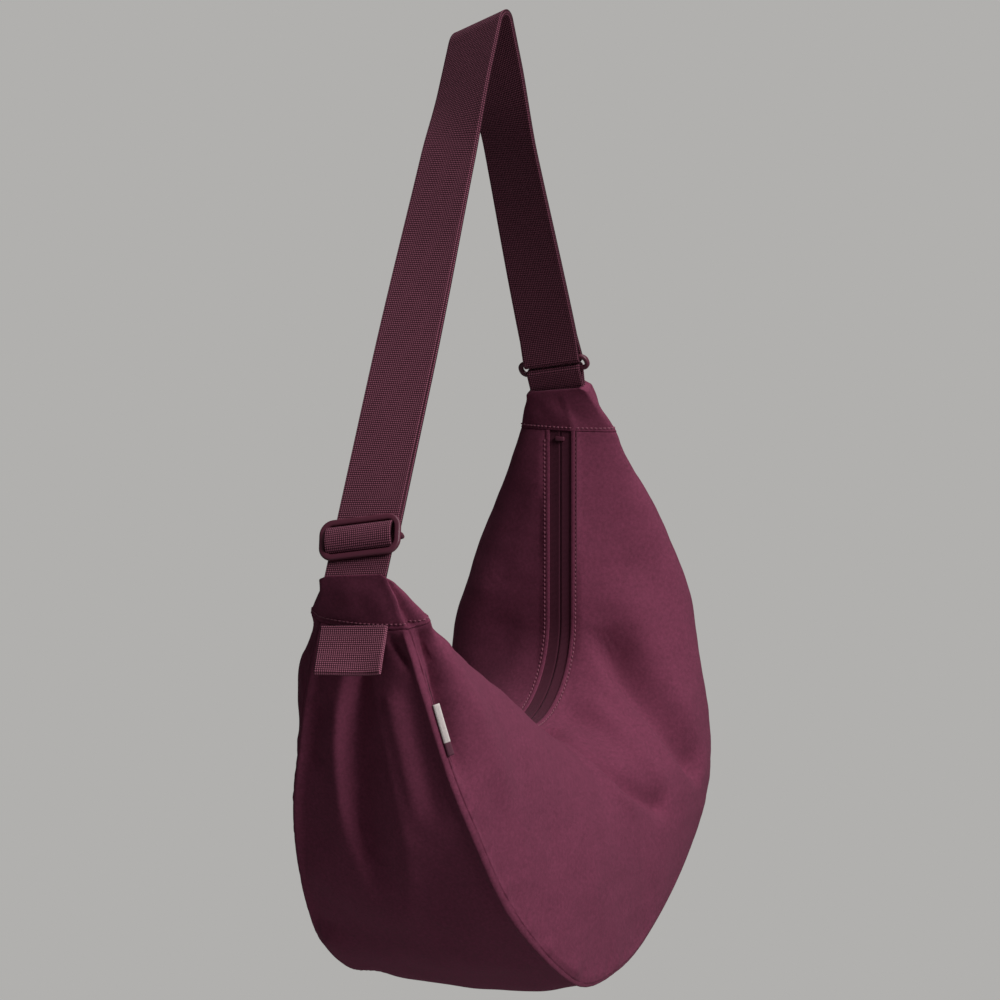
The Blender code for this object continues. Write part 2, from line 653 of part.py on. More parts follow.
def skew(points, top, leg, tilt_deg):
    """Slide the front edge of a leg's end upward along the leg, fading out away from its cap."""
    out = np.array(points, dtype=float)
    away = (top[0] - out[:, 0]) * leg[0] + (top[1] - out[:, 2]) * leg[1]
    lift = -out[:, 1] * math.tan(math.radians(tilt_deg)) * fading(away, END_SKEW_START, END_SKEW_END)
    lift *= out[:, 0] * top[0] > 0.0
    out[:, 0] -= leg[0] * lift
    out[:, 2] -= leg[1] * lift
    return out


def strap_path(radius, near_end, far_end):
    """Return a layer's path over the crest, from its end on the near leg to its end on the far leg."""
    centre = np.array([0.0, -CREST_INNER_RADIUS])
    start = centre + radius * np.array([math.cos(NEAR_ANGLE), math.sin(NEAR_ANGLE)])
    finish = centre + radius * np.array([math.cos(FAR_ANGLE), math.sin(FAR_ANGLE)])
    points = [start + NEAR_LEG * near_end * share for share in np.linspace(1.0, 0.35, 6)]
    points += [start + NEAR_LEG * near_end * share for share in np.linspace(0.32, 0.02, 14)]
    points += [centre + radius * np.array([math.cos(a), math.sin(a)])
               for a in np.linspace(NEAR_ANGLE, FAR_ANGLE, 14)]
    points += [finish + FAR_LEG * far_end * share for share in np.linspace(0.02, 0.42, 14)]
    points += [finish + FAR_LEG * far_end * share for share in np.linspace(0.45, 1.0, 6)]
    return np.array([(p[0], 0.0, p[1]) for p in points])


def outward(leg):
    """Return the unit direction in x and z that points from the inner to the outer face of a leg."""
    out = np.array([leg[1], -leg[0]])
    return out if out[0] * leg[0] > 0.0 else -out


def ring_turn(bar, reach, start_deg, end_deg):
    """Return flat points round a bar of the ring, from the outer side to the inner side of the strap.

    Angles are measured from the way up the leg towards its outer side.
    """
    up = -FAR_LEG
    out = outward(FAR_LEG)
    angles = np.radians(np.linspace(start_deg, end_deg, 13))
    return [bar + reach * (math.cos(a) * up + math.sin(a) * out) for a in angles]


def ring_centre():
    """Return the middle of the ring in x and z, halfway between the layers of the strap."""
    return np.array(FAR_CAP_TOP) - FAR_LEG * RING_RISE + outward(FAR_LEG) * LAYER_PITCH * 0.5


def strap_line():
    """Return the one line of the strap: up from the near cap, round the ring and back to the adjuster."""
    near_full = float(np.linalg.norm(np.array(NEAR_CAP_TOP) - NEAR_TOUCH))
    far_full = float(np.linalg.norm(np.array(FAR_CAP_TOP) - FAR_TOUCH))
    above = RING_RISE + RING_BAR_SPREAD + RING_SPREAD_LENGTH
    outer = strap_path(OUTER_LAYER_RADIUS, near_full + SEWN_DEPTH, far_full - above)
    inner = strap_path(INNER_LAYER_RADIUS, near_full - NEAR_ADJUSTER_RISE, far_full - above)
    bar = ring_centre() - FAR_LEG * RING_BAR_SPREAD
    turn = ring_turn(bar, RING_BAR_RADIUS + LAYER_CLEARANCE + WEBBING_THICKNESS * 0.5, 80.0, 280.0)
    turn = np.array([(p[0], 0.0, p[1]) for p in turn])
    return np.vstack([outer, turn, inner[::-1]])


def build_strap(looks):
    """Build the webbing of the strap, one piece from the near cap to the adjuster."""
    rings = ribbon_rings(strap_line(), WEBBING_WIDTH, WEBBING_THICKNESS, STRAP_STRIPS)
    rings = [slant(ring) for ring in rings]
    rings = [skew(ring, NEAR_CAP_TOP, NEAR_LEG, NEAR_CAP_TILT_DEG) for ring in rings]
    rings = [skew(ring, FAR_CAP_TOP, FAR_LEG, RING_TILT_DEG) for ring in rings]
    add_rings("strap_webbing", rings, looks["strap_webbing"])


def build_ring(looks):
    """Build the ring above the far cap and the tab that holds it."""
    middle = ring_centre()
    frame = adjuster_frame(FAR_CAP_TOP, FAR_LEG, RING_RISE, LAYER_PITCH * 0.5, RING_TILT_DEG, 0.0)
    half_across = RING_WIDTH * 0.5 - RING_BAR_RADIUS - RING_BAR_SPREAD
    path = []
    for sign, turn in ((1.0, 0.0), (-1.0, 1.0)):
        for k in range(9):
            angle = math.pi * (turn + k / 8.0)
            path.append((RING_BAR_SPREAD * math.cos(angle),
                         sign * half_across + RING_BAR_SPREAD * math.sin(angle), 0.0))
    ring_tube("far_ring", local_points(frame, path), RING_BAR_RADIUS, RING_BAR_RADIUS, frame[3],
              looks["far_ring"])
    reach = RING_BAR_RADIUS + LAYER_CLEARANCE + WEBBING_THICKNESS * 0.5
    turn = ring_turn(middle + FAR_LEG * RING_BAR_SPREAD, reach, 100.0, -100.0)
    base = np.array(FAR_CAP_TOP) + FAR_LEG * SEWN_DEPTH
    ends = [base + outward(FAR_LEG) * LAYER_PITCH * 0.5, base - outward(FAR_LEG) * LAYER_PITCH * 0.5]
    line = np.array([(p[0], 0.0, p[1]) for p in [ends[0], *turn, ends[1]]])
    rings = ribbon_rings(line, TAB_WIDTH, WEBBING_THICKNESS, 1)
    rings = [skew(ring, FAR_CAP_TOP, FAR_LEG, RING_TILT_DEG) for ring in rings]
    add_rings("far_tab", rings, looks["far_tab"])


def adjuster_frame(cap_top, leg, rise, layer_shift, tilt_deg, side_shift):
    """Return the centre between the layers and the axes of a fitting: up, across and outward.

    The tilt lifts the front end of the fitting in the plane of the strap.
    """
    up = np.array([-leg[0], 0.0, -leg[1]])
    out = np.array([-leg[1], 0.0, leg[0]])
    if out[0] * cap_top[0] < 0.0:
        out = -out
    centre = np.array([cap_top[0], 0.0, cap_top[1]]) + up * rise + out * layer_shift
    across = np.array([0.0, 1.0, 0.0])
    centre += across * side_shift
    tilt = math.radians(tilt_deg)
    tilted_up = up * math.cos(tilt) + across * math.sin(tilt)
    tilted_across = across * math.cos(tilt) - up * math.sin(tilt)
    return centre, tilted_up, tilted_across, out


def local_points(frame, points):
    """Turn local (up, across, outward) points into points in space."""
    centre, up, across, out = frame
    return np.array([centre + up * a + across * b + out * c for a, b, c in points])


def ring_tube(name, path, half_a, half_b, flat_way, look):
    """Make a tube along a closed path."""
    path = np.array(path)
    ways = np.roll(path, -1, axis=0) - np.roll(path, 1, axis=0)
    ways /= np.linalg.norm(ways, axis=1)[:, None]
    rings = []
    for point, way in zip(path, ways):
        side = np.cross(way, flat_way)
        side /= np.linalg.norm(side)
        ring = []
        for k in range(10):
            angle = 2.0 * math.pi * k / 10.0
            c, s = math.cos(angle), math.sin(angle)
            ring.append(point + side * half_a * math.copysign(abs(c) ** 0.7, c)
                        + flat_way * half_b * math.copysign(abs(s) ** 0.7, s))
        rings.append(np.array(ring))
    return add_rings(name, rings, look, closed_ends=False)


def build_adjuster(frame, looks):
    """Build the adjuster, the fold of webbing in its window and the sewn end on its middle bar."""
    stack = LAYER_PITCH * 0.5 + WEBBING_THICKNESS * 0.5
    front = stack + LAYER_CLEARANCE + ADJUSTER_BAR_DEPTH * 0.5
    half_up = (ADJUSTER_HEIGHT - ADJUSTER_BAR) * 0.5 - ADJUSTER_CORNER
    edge = (ADJUSTER_WIDTH - ADJUSTER_BAR) * 0.5
    half_across = edge - ADJUSTER_CORNER
    path = []
    corners = ((-1.0, 1.0, 0.0), (1.0, 1.0, 0.5), (1.0, -1.0, 1.0), (-1.0, -1.0, 1.5))
    for up_sign, across_sign, turn in corners:
        for k in range(6):
            angle = math.pi * (turn + k / 10.0)
            path.append((up_sign * half_up - ADJUSTER_CORNER * math.cos(angle),
                         across_sign * half_across + ADJUSTER_CORNER * math.sin(angle), front))
    name = "strap_adjuster"
    body = ring_tube(name, local_points(frame, path), ADJUSTER_BAR * 0.5, ADJUSTER_BAR_DEPTH * 0.5, frame[3],
                     looks[name])
    back = -(stack + LAYER_CLEARANCE + MIDDLE_BAR_RADIUS)
    corner = MIDDLE_BAR_RADIUS * 1.6
    bar = [(0.0, -edge, front), (0.0, -edge, back + corner),
           (0.0, -edge + corner * 0.3, back + corner * 0.3), (0.0, -edge + corner, back), (0.0, 0.0, back),
           (0.0, edge - corner, back), (0.0, edge - corner * 0.3, back + corner * 0.3),
           (0.0, edge, back + corner), (0.0, edge, front)]
    rings = tube_rings(local_points(frame, bar), MIDDLE_BAR_RADIUS, MIDDLE_BAR_RADIUS, frame[1], 8)
    other = add_rings("bar", rings, looks[name])
    combine(body, other, "UNION")
    base = stack + LAYER_CLEARANCE + WEBBING_THICKNESS * 0.5
    arch = [(FOLD_HALF_LENGTH * math.cos(a), 0.0, base + (FOLD_HEIGHT - WEBBING_THICKNESS) * math.sin(a))
            for a in np.linspace(0.0, math.pi, 13)]
    name = "strap_fold"
    rings = ribbon_rings(local_points(frame, arch), FOLD_WIDTH, WEBBING_THICKNESS, 1, frame[2])
    add_rings(name, rings, looks[name])
    reach = MIDDLE_BAR_RADIUS + END_LOOP_CLEARANCE + WEBBING_THICKNESS * 0.5
    close = -(stack + LAYER_CLEARANCE + WEBBING_THICKNESS * 0.5)
    turn = [(reach * math.sin(a), 0.0, back - reach * math.cos(a)) for a in np.linspace(-1.45, 1.45, 11)]
    turn += [(reach * 1.5, 0.0, close - LAYER_CLEARANCE), (reach * 2.2, 0.0, close), (END_TAIL, 0.0, close)]
    name = "strap_end"
    rings = ribbon_rings(local_points(frame, turn), FOLD_WIDTH, WEBBING_THICKNESS, 1, frame[2])
    add_rings(name, rings, looks[name])


def build_loop(looks):
    """Build the folded webbing loop sewn under the near cap."""
    lean = math.radians(LOOP_LEAN_DEG)
    tilt = math.radians(LOOP_TILT_DEG)
    top = np.array([LOOP_HINGE[0], LOOP_SIDE_SHIFT, LOOP_HINGE[1]])
    down = np.array([-math.sin(lean), 0.0, -math.cos(lean)])
    side = np.array([0.0, 1.0, 0.0])
    across = side * math.cos(tilt) + down * math.sin(tilt)
    along = down * math.cos(tilt) - side * math.sin(tilt)
    path = [top + along * LOOP_DROP * share for share in (0.0, 0.03, 0.2, 0.4, 0.6, 0.8, 0.95, 1.0)]
    rings = ribbon_rings(path, LOOP_WIDTH, LOOP_THICKNESS, 1, across)
    add_rings("end_loop", rings, looks["end_loop"])


def build_label(looks):
    """Build the bare woven label that stands out of the front seam."""
    middle = place(LABEL_SHARE, panel_curve(LABEL_SHARE)[-1])[0]
    step = 0.01
    way = (place(LABEL_SHARE + step, panel_curve(LABEL_SHARE + step)[-1])[0]
           - place(LABEL_SHARE - step, panel_curve(LABEL_SHARE - step)[-1])[0])
    way /= np.linalg.norm(way)
    ray = station(LABEL_SHARE)[1]
    out = np.array([ray[0], -1.0, ray[1]])
    out -= way * float(out @ way)
    out /= np.linalg.norm(out)
    normal = np.cross(way, out)
    centre = middle + out * (LABEL_STAND + LABEL_WIDTH * 0.5)
    size = (LABEL_LENGTH, LABEL_WIDTH, LABEL_THICKNESS)
    box_object("seam_label", centre, size, (way, out, normal), looks["seam_label"])


CLOTH = (0.152, 0.034, 0.066)
WEBBING_COLOUR = (0.118, 0.026, 0.050)
LINING_COLOUR = (0.052, 0.012, 0.022)
PLASTIC_COLOUR = (0.105, 0.022, 0.044)
LABEL_COLOUR = (0.70, 0.62, 0.60)

LOOKS = (
    ("front_panel", CLOTH, 0.82, 0.0), ("back_panel", CLOTH, 0.82, 0.0), ("gusset_panel", CLOTH, 0.82, 0.0),
    ("front_piping", CLOTH, 0.80, 0.0), ("back_piping", CLOTH, 0.80, 0.0),
    ("near_end_cap", CLOTH, 0.82, 0.0), ("far_end_cap", CLOTH, 0.82, 0.0),
    ("front_lining", LINING_COLOUR, 0.85, 0.0), ("back_lining", LINING_COLOUR, 0.85, 0.0),
    ("gusset_lining", LINING_COLOUR, 0.85, 0.0), ("inner_pocket", LINING_COLOUR, 0.85, 0.0),
    ("front_zip_tape", WEBBING_COLOUR, 0.80, 0.0), ("back_zip_tape", WEBBING_COLOUR, 0.80, 0.0),
    ("front_zip_coil", PLASTIC_COLOUR, 0.45, 0.0), ("back_zip_coil", PLASTIC_COLOUR, 0.45, 0.0),
    ("front_zip_welt", CLOTH, 0.80, 0.0), ("back_zip_welt", CLOTH, 0.80, 0.0),
    ("near_zip_stop", PLASTIC_COLOUR, 0.45, 0.0), ("far_zip_stop", PLASTIC_COLOUR, 0.45, 0.0),
    ("zip_slider", PLASTIC_COLOUR, 0.40, 0.6), ("zip_pull", PLASTIC_COLOUR, 0.40, 0.6),
    ("strap_webbing", WEBBING_COLOUR, 0.78, 0.0), ("far_tab", WEBBING_COLOUR, 0.78, 0.0),
    ("strap_adjuster", PLASTIC_COLOUR, 0.42, 0.0), ("far_ring", PLASTIC_COLOUR, 0.42, 0.0),
    ("strap_fold", WEBBING_COLOUR, 0.78, 0.0), ("strap_end", WEBBING_COLOUR, 0.78, 0.0),
    ("end_loop", WEBBING_COLOUR, 0.78, 0.0), ("seam_label", LABEL_COLOUR, 0.75, 0.0),
)


def main():
    """Build the whole bag."""
    for old in list(bpy.data.objects):
        bpy.data.objects.remove(old, do_unlink=True)
    looks = {name: material(name + "_look", colour, rough, metal) for name, colour, rough, metal in LOOKS}
    build_body(looks)
    build_pocket(looks)
    build_mouth(looks)
    build_slider(looks)
    build_cap("near_end_cap", 0.0, NEAR_CAP_TOP, NEAR_CAP_TILT_DEG, looks)
    build_cap("far_end_cap", 1.0, FAR_CAP_TOP, FAR_CAP_TILT_DEG, looks)
    build_strap(looks)
    build_ring(looks)
    build_adjuster(adjuster_frame(NEAR_CAP_TOP, NEAR_LEG, NEAR_ADJUSTER_RISE, -LAYER_PITCH * 0.5,
                                  NEAR_ADJUSTER_TILT_DEG, NEAR_ADJUSTER_SIDE_SHIFT), looks)
    build_loop(looks)
    build_label(looks)


main()
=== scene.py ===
"""Half moon shoulder bag, hung by its doubled strap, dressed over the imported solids."""
import logging
import math
from dataclasses import dataclass, field, replace
from enum import Enum
from typing import Callable, Sequence

import bmesh
import bpy
import numpy as np
from mathutils import Matrix, Vector


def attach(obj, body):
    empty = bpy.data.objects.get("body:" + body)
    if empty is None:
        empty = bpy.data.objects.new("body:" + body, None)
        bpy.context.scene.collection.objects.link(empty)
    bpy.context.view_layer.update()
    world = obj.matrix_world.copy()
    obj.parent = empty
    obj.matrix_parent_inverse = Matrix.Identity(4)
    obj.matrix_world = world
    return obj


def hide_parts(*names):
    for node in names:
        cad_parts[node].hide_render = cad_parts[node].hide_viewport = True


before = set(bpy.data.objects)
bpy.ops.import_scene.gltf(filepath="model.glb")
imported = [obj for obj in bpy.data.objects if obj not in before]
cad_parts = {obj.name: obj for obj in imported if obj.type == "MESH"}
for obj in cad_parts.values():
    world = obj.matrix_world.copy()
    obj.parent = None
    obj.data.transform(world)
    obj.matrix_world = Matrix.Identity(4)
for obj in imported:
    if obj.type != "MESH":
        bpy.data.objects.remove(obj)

LOG = logging.getLogger("half_moon_bag")
ACROSS = np.array([0.0, 1.0, 0.0])


class Side(Enum):
    """The two faces of the bag; the value is the sign that turns a front section into this side's."""

    FRONT = 1.0
    BACK = -1.0

    @property
    def word(self) -> str:
        """Return the side's word for piece names."""
        return self.name.lower()


class End(Enum):
    """The two tips of the bag."""

    NEAR = "near"
    FAR = "far"


# Numbers along lines


def lengths(line: np.ndarray) -> np.ndarray:
    """Return the length of a line up to each of its points."""
    return np.concatenate([[0.0], np.cumsum(np.linalg.norm(np.diff(line, axis=0), axis=1))])


def row_lengths(grid: np.ndarray) -> np.ndarray:
    """Return how far down its own row each point of a grid lies."""
    steps = np.linalg.norm(np.diff(grid, axis=1), axis=2)
    return np.concatenate([np.zeros((len(grid), 1)), np.cumsum(steps, axis=1)], axis=1)


def points_at(wanted: np.ndarray | float, along: np.ndarray, points: np.ndarray) -> np.ndarray:
    """Read a line at places between its points.

    Args:
        wanted: Where to read, one number or many.
        along: The length or share at which each point lies.
        points: The points, one row each.

    Returns:
        The points there.
    """
    return np.stack([np.interp(wanted, along, points[:, k]) for k in range(points.shape[1])], axis=-1)


def unit(vectors: np.ndarray) -> np.ndarray:
    """Return vectors of length one with the same directions."""
    return vectors / np.linalg.norm(vectors, axis=-1, keepdims=True)


def circle(angles: np.ndarray | float) -> np.ndarray:
    """Return the points of a unit circle at angles."""
    return np.stack([np.cos(angles), np.sin(angles)], axis=-1)


def upright(flat: np.ndarray) -> np.ndarray:
    """Turn places in x and z into points in the middle plane of the bag."""
    return np.insert(flat, 1, 0.0, axis=-1)


def resample(points: np.ndarray, spots: int | np.ndarray) -> np.ndarray:
    """Take points along an open line by length.

    Args:
        points: The line's points, one row each.
        spots: How many evenly spaced points to return, or the shares of the length at which they lie.

    Returns:
        The points.
    """
    along = lengths(points)
    shares = np.linspace(0.0, 1.0, spots) if isinstance(spots, int) else np.asarray(spots)
    return points_at(shares * along[-1], along, points)


def smooth_curve(points: Sequence[Sequence[float]], count: int) -> np.ndarray:
    """Run a smooth curve through points.

    Args:
        points: The points that it passes through.
        count: How many points to return.

    Returns:
        Evenly spaced points on the curve.
    """
    pts = np.array(points, dtype=float)
    padded = np.vstack([2.0 * pts[0] - pts[1], pts, 2.0 * pts[-1] - pts[-2]])
    out, parts = [], 24
    for i in range(1, len(padded) - 2):
        p0, p1, p2, p3 = padded[i - 1:i + 3]
        for step in range(parts):
            u = step / parts
            out.append(0.5 * (2.0 * p1 + (p2 - p0) * u + (2.0 * p0 - 5.0 * p1 + 4.0 * p2 - p3) * u ** 2
                              + (3.0 * p1 - p0 - 3.0 * p2 + p3) * u ** 3))
    out.append(padded[-2])
    return resample(np.array(out), count)


def table(places: Sequence[float], values: Sequence[float], t: float) -> float:
    """Read a smooth value from a table.

    Args:
        places: The shares at which the table has values.
        values: The values there.
        t: The share to read at.

    Returns:
        The value at t.
    """
    xs, ys = np.array(places), np.array(values)
    i = int(np.clip(np.searchsorted(xs, t) - 1, 0, len(xs) - 2))
    span = xs[i + 1] - xs[i]
    rises = np.gradient(ys, xs) * span
    u = (t - xs[i]) / span
    low = (2.0 * u ** 3 - 3.0 * u ** 2 + 1.0) * ys[i] + (u ** 3 - 2.0 * u ** 2 + u) * rises[i]
    high = (3.0 * u ** 2 - 2.0 * u ** 3) * ys[i + 1] + (u ** 3 - u ** 2) * rises[i + 1]
    return float(low + high)


def ramp(x: np.ndarray | float, low: float, high: float) -> np.ndarray | float:
    """Return 0 below low, 1 above high and a smooth rise between them."""
    u = np.clip((x - low) / (high - low), 0.0, 1.0)
    return u * u * (3.0 - 2.0 * u)


# The hanging form


@dataclass
class BagForm:
    """The section model of the hanging bag, in the frame of its solids.

    Its lines are shares of the span and of the drop, and its tables are shares of the sizes before them.
    Slack is how far the upper front of the far lobe sinks in, which the solids don't have.
    """

    span: float = 0.366
    drop: float = 0.585
    panel_half_width: float = 0.078
    gusset_half_width: float = 0.086
    back_extra: float = 0.0152
    shoulder_fall: float = 0.0275
    gusset_bow: float = 0.010
    arc_radius: float = 0.058
    arc_start_deg: float = -120.0
    opening_half: float = 0.0096
    arc_centre: tuple = (0.1694, 0.6496)
    mouth_start: tuple = (-0.3306, 0.5658)
    mouth_end: tuple = (0.3210, 0.4376)
    near_top: tuple = (-0.4366, 0.5393)
    far_top: tuple = (0.3087, 0.3915)
    gusset_line: tuple = (
        (-0.4071, 0.5855), (-0.3974, 0.6421), (-0.3842, 0.6936), (-0.3603, 0.7578), (-0.3252, 0.8110),
        (-0.2830, 0.8597), (-0.2211, 0.9105), (-0.1373, 0.9582), (-0.0429, 0.9893), (0.0657, 0.9891),
        (0.1900, 0.9725), (0.3427, 0.9242), (0.4693, 0.8623), (0.5307, 0.7877), (0.5428, 0.7019),
        (0.5308, 0.6069), (0.4615, 0.5164), (0.3843, 0.4385))
    seam_places: tuple = (0.0, 0.05, 0.11, 0.163, 0.233, 0.33, 0.42, 0.50, 0.60, 0.70, 0.80, 0.87, 0.94, 1.0)
    seam_widths: tuple = (0.3323, 0.4625, 0.5893, 0.7079, 0.8107, 0.9451, 0.9922, 0.9715, 0.9372, 0.8615,
                          0.6849, 0.5300, 0.3916, 0.2770)
    panel_places: tuple = (0.0, 0.05, 0.10, 0.15, 0.20, 0.30, 0.40, 0.50, 0.60, 0.70, 0.75, 0.80, 0.85, 0.90,
                           0.95, 1.0)
    panel_widths: tuple = (0.4869, 0.5899, 0.6530, 0.6984, 0.7517, 0.8755, 0.9554, 0.9832, 0.9930, 0.9627,
                           0.9276, 0.8481, 0.7701, 0.6535, 0.5292, 0.4083)
    back_shares: tuple = (0.002, -0.019, -0.059, -0.063, 0.020, 0.125, 0.257, 0.357, 0.552, 0.813, 0.995,
                          0.820, 0.529, 0.347, 0.128, -0.088)
    shoulder_places: tuple = (0.0, 0.08, 0.20, 0.40, 0.55, 0.75, 1.0)
    shoulder_shares: tuple = (0.999, 0.996, 0.874, 0.630, 0.378, 0.175, 0.058)
    bow_places: tuple = (0.0, 0.12, 0.35, 0.60, 0.85, 1.0)
    bow_shares: tuple = (0.4, 0.7, 1.0, 1.0, 0.7, 0.3)
    slack_places: tuple = (0.0, 0.50, 0.62, 0.75, 0.85, 0.95, 1.0)
    slack_shares: tuple = (0.0, 0.0, 0.25, 0.85, 1.0, 1.0, 1.0)
    slack_drop: float = 0.20
    slack_sink: float = 0.56
    slack_swell: float = 0.13
    low_control: float = 0.58
    samples: int = 320
    mouth: np.ndarray = field(init=False)
    outer: np.ndarray = field(init=False)
    near_end: np.ndarray = field(init=False)

    def __post_init__(self) -> None:
        """Work out the mouth line and the middle line of the gusset."""
        centre = self.hung(self.arc_centre)
        angles = np.radians(np.linspace(self.arc_start_deg, 0.0, 50))
        arc = centre + self.arc_radius * circle(angles)
        near = np.linspace(self.hung(self.mouth_start), arc[0], 60)[:-1]
        far = np.linspace(arc[-1], self.hung(self.mouth_end), 50)[1:]
        self.near_end = arc[0]
        self.mouth = resample(np.vstack([near, arc, far]), self.samples)
        self.outer = smooth_curve([self.hung(p) for p in self.gusset_line], self.samples)

    def hung(self, shares: Sequence[float]) -> np.ndarray:
        """Turn shares of the span and of the drop into a place in x and z."""
        return np.array([self.span * shares[0], -self.drop * shares[1]])

    def on_line(self, line: np.ndarray, t: float) -> np.ndarray:
        """Return the point at share t of one of the two lines."""
        where = t * (len(line) - 1)
        low = int(np.clip(math.floor(where), 0, len(line) - 2))
        return line[low] + (line[low + 1] - line[low]) * (where - low)

    def station(self, t: float) -> tuple[np.ndarray, np.ndarray, float]:
        """Return the start, the unit ray and the ray's length of the section at share t."""
        start = self.on_line(self.mouth, t)
        ray = self.on_line(self.outer, t) - start
        length = float(np.linalg.norm(ray))
        return start, ray / length, length

    def place(self, t: float, flat: np.ndarray) -> np.ndarray:
        """Turn section points, as depth along the ray and y, into points in space."""
        start, ray, _ = self.station(t)
        return upright(start + ray * flat[:, :1]) + ACROSS * flat[:, 1:]

    def seam_half(self, t: float) -> float:
        """Return the half width of the gusset at its seams."""
        return self.gusset_half_width * table(self.seam_places, self.seam_widths, t)

    def panel_curve(self, t: float, side: Side, spots: int | np.ndarray) -> np.ndarray:
        """Return a panel's section from the mouth edge to the seam.

        Args:
            t: Share of the way along the body.
            side: Which panel.
            spots: How many points, or their shares of the length.

        Returns:
            Section points as depth and y.
        """
        length = self.station(t)[2]
        half = self.seam_half(t)
        bulge = self.panel_half_width * table(self.panel_places, self.panel_widths, t)
        if side is Side.BACK:
            bulge += self.back_extra * table(self.panel_places, self.back_shares, t)
        fall = self.shoulder_fall * table(self.shoulder_places, self.shoulder_shares, t)
        u = np.linspace(0.0, 1.0, 160)
        b0, b1, b2, b3 = (1.0 - u) ** 3, 3.0 * (1.0 - u) ** 2 * u, 3.0 * (1.0 - u) * u ** 2, u ** 3
        # Half way along a cubic each end weighs an eighth, and the two inner points three quarters together.
        middle = (bulge - 0.125 * (self.opening_half + half)) / 0.75
        depth = fall * b1 + self.low_control * length * b2 + length * b3
        across = self.opening_half * b0 + middle * (b1 + b2) + half * b3
        if side is Side.FRONT:
            slack = table(self.slack_places, self.slack_shares, t)
            depth = depth + self.slack_drop * slack * length * b1
            across = across + slack * middle * (self.slack_swell * b2 - self.slack_sink * b1)
        return resample(np.stack([depth, -across * side.value], axis=1), spots)

    def gusset_curve(self, t: float, spots: int | np.ndarray) -> np.ndarray:
        """Return the gusset's section from the front seam to the back seam."""
        length = self.station(t)[2]
        half = self.seam_half(t)
        bow = self.gusset_bow * table(self.bow_places, self.bow_shares, t)
        v = np.linspace(-1.0, 1.0, 120)
        return resample(np.stack([length + bow * (1.0 - v ** 2), half * v], axis=1), spots)

    def panel_grid(self, shares: np.ndarray, side: Side, spots: np.ndarray) -> np.ndarray:
        """Return a panel as a grid of points, stations by rows."""
        return np.array([self.place(t, self.panel_curve(t, side, spots)) for t in shares])

    def gusset_grid(self, shares: np.ndarray, spots: np.ndarray) -> np.ndarray:
        """Return the gusset as a grid of points, stations by rows."""
        return np.array([self.place(t, self.gusset_curve(t, spots)) for t in shares])

    def seam_line(self, shares: np.ndarray, side: Side) -> np.ndarray:
        """Return the seam between the gusset and one panel."""
        out = []
        for t in shares:
            flat = np.array([[self.station(t)[2], -self.seam_half(t) * side.value]])
            out.append(self.place(t, flat)[0])
        return np.array(out)

    def mouth_frames(self, shares: np.ndarray) -> tuple[np.ndarray, np.ndarray, np.ndarray]:
        """Return points, directions and outward normals along the mouth line."""
        points = upright(np.array([self.on_line(self.mouth, t) for t in shares]))
        ways = unit(np.gradient(points, axis=0))
        return points, ways, np.cross(ways, ACROSS)


@dataclass(frozen=True)
class Fold:
    """A soft valley or ridge in the cloth.

    Its route is a row of shares along the body and down the section. Depth and widths are in millimetres,
    and left and right are as somebody sees them who walks along the route on the cloth's outer face.
    """

    route: tuple
    depth: float
    left: float
    right: float
    start_fade: float = 0.25
    end_fade: float = 0.25

    def shift(self, grid: np.ndarray, shares: np.ndarray, spots: np.ndarray,
              normals: np.ndarray) -> np.ndarray:
        """Return how far the fold moves each point of a grid inwards.

        Args:
            grid: Stations by rows by three.
            shares: The share along the body of each station.
            spots: The share down the section of each row.
            normals: Outward normals of the grid.

        Returns:
            Inward shifts in metres.
        """
        route = np.array(self.route)
        rows = np.interp(route[:, 0], shares, np.arange(len(shares)))
        cols = np.interp(route[:, 1], spots, np.arange(len(spots)))
        line = smooth_curve([self.between(grid, a, b) for a, b in zip(rows, cols)], 60)
        ways = unit(np.gradient(line, axis=0))
        points, outs = grid.reshape(-1, 3), normals.reshape(-1, 3)
        gaps = points[:, None, :] - line[None, :, :]
        reach = np.linalg.norm(gaps, axis=2)
        near = np.argmin(reach, axis=1)
        away = gaps[np.arange(len(points)), near]
        sided = np.einsum("ij,ij->i", np.cross(ways[near], outs), away)
        distance = reach[np.arange(len(points)), near]
        width = np.where(sided > 0.0, self.right, self.left) * 0.001
        share = near / (len(line) - 1.0)
        fade = ramp(share, 0.0, self.start_fade) * (1.0 - ramp(share, 1.0 - self.end_fade, 1.0))
        return (self.depth * 0.001 * np.exp(-(distance / width) ** 2) * fade).reshape(grid.shape[:2])

    @staticmethod
    def between(grid: np.ndarray, row: float, col: float) -> np.ndarray:
        """Return the point between the points of a grid."""
        i, j = int(min(row, len(grid) - 2)), int(min(col, grid.shape[1] - 2))
        a, b = row - i, col - j
        low = grid[i, j] * (1.0 - b) + grid[i, j + 1] * b
        high = grid[i + 1, j] * (1.0 - b) + grid[i + 1, j + 1] * b
        return low * (1.0 - a) + high * a


@dataclass(frozen=True)
class Ripples:
    """Slight unevenness that runs all over a piece of cloth."""

    seed: int
    height: float
    wavelength: float
    waves: int = 18

    def shift(self, points: np.ndarray) -> np.ndarray:
        """Return the inward shift of each point, in metres."""
        rng = np.random.default_rng(self.seed)
        out = np.zeros(points.shape[:-1])
        for _ in range(self.waves):
            way = unit(rng.normal(size=3))
            length = self.wavelength * rng.uniform(0.6, 1.8)
            out += np.sin(points @ way * 2.0 * math.pi / length + rng.uniform(0.0, 2.0 * math.pi))
        return self.height * out / math.sqrt(self.waves)


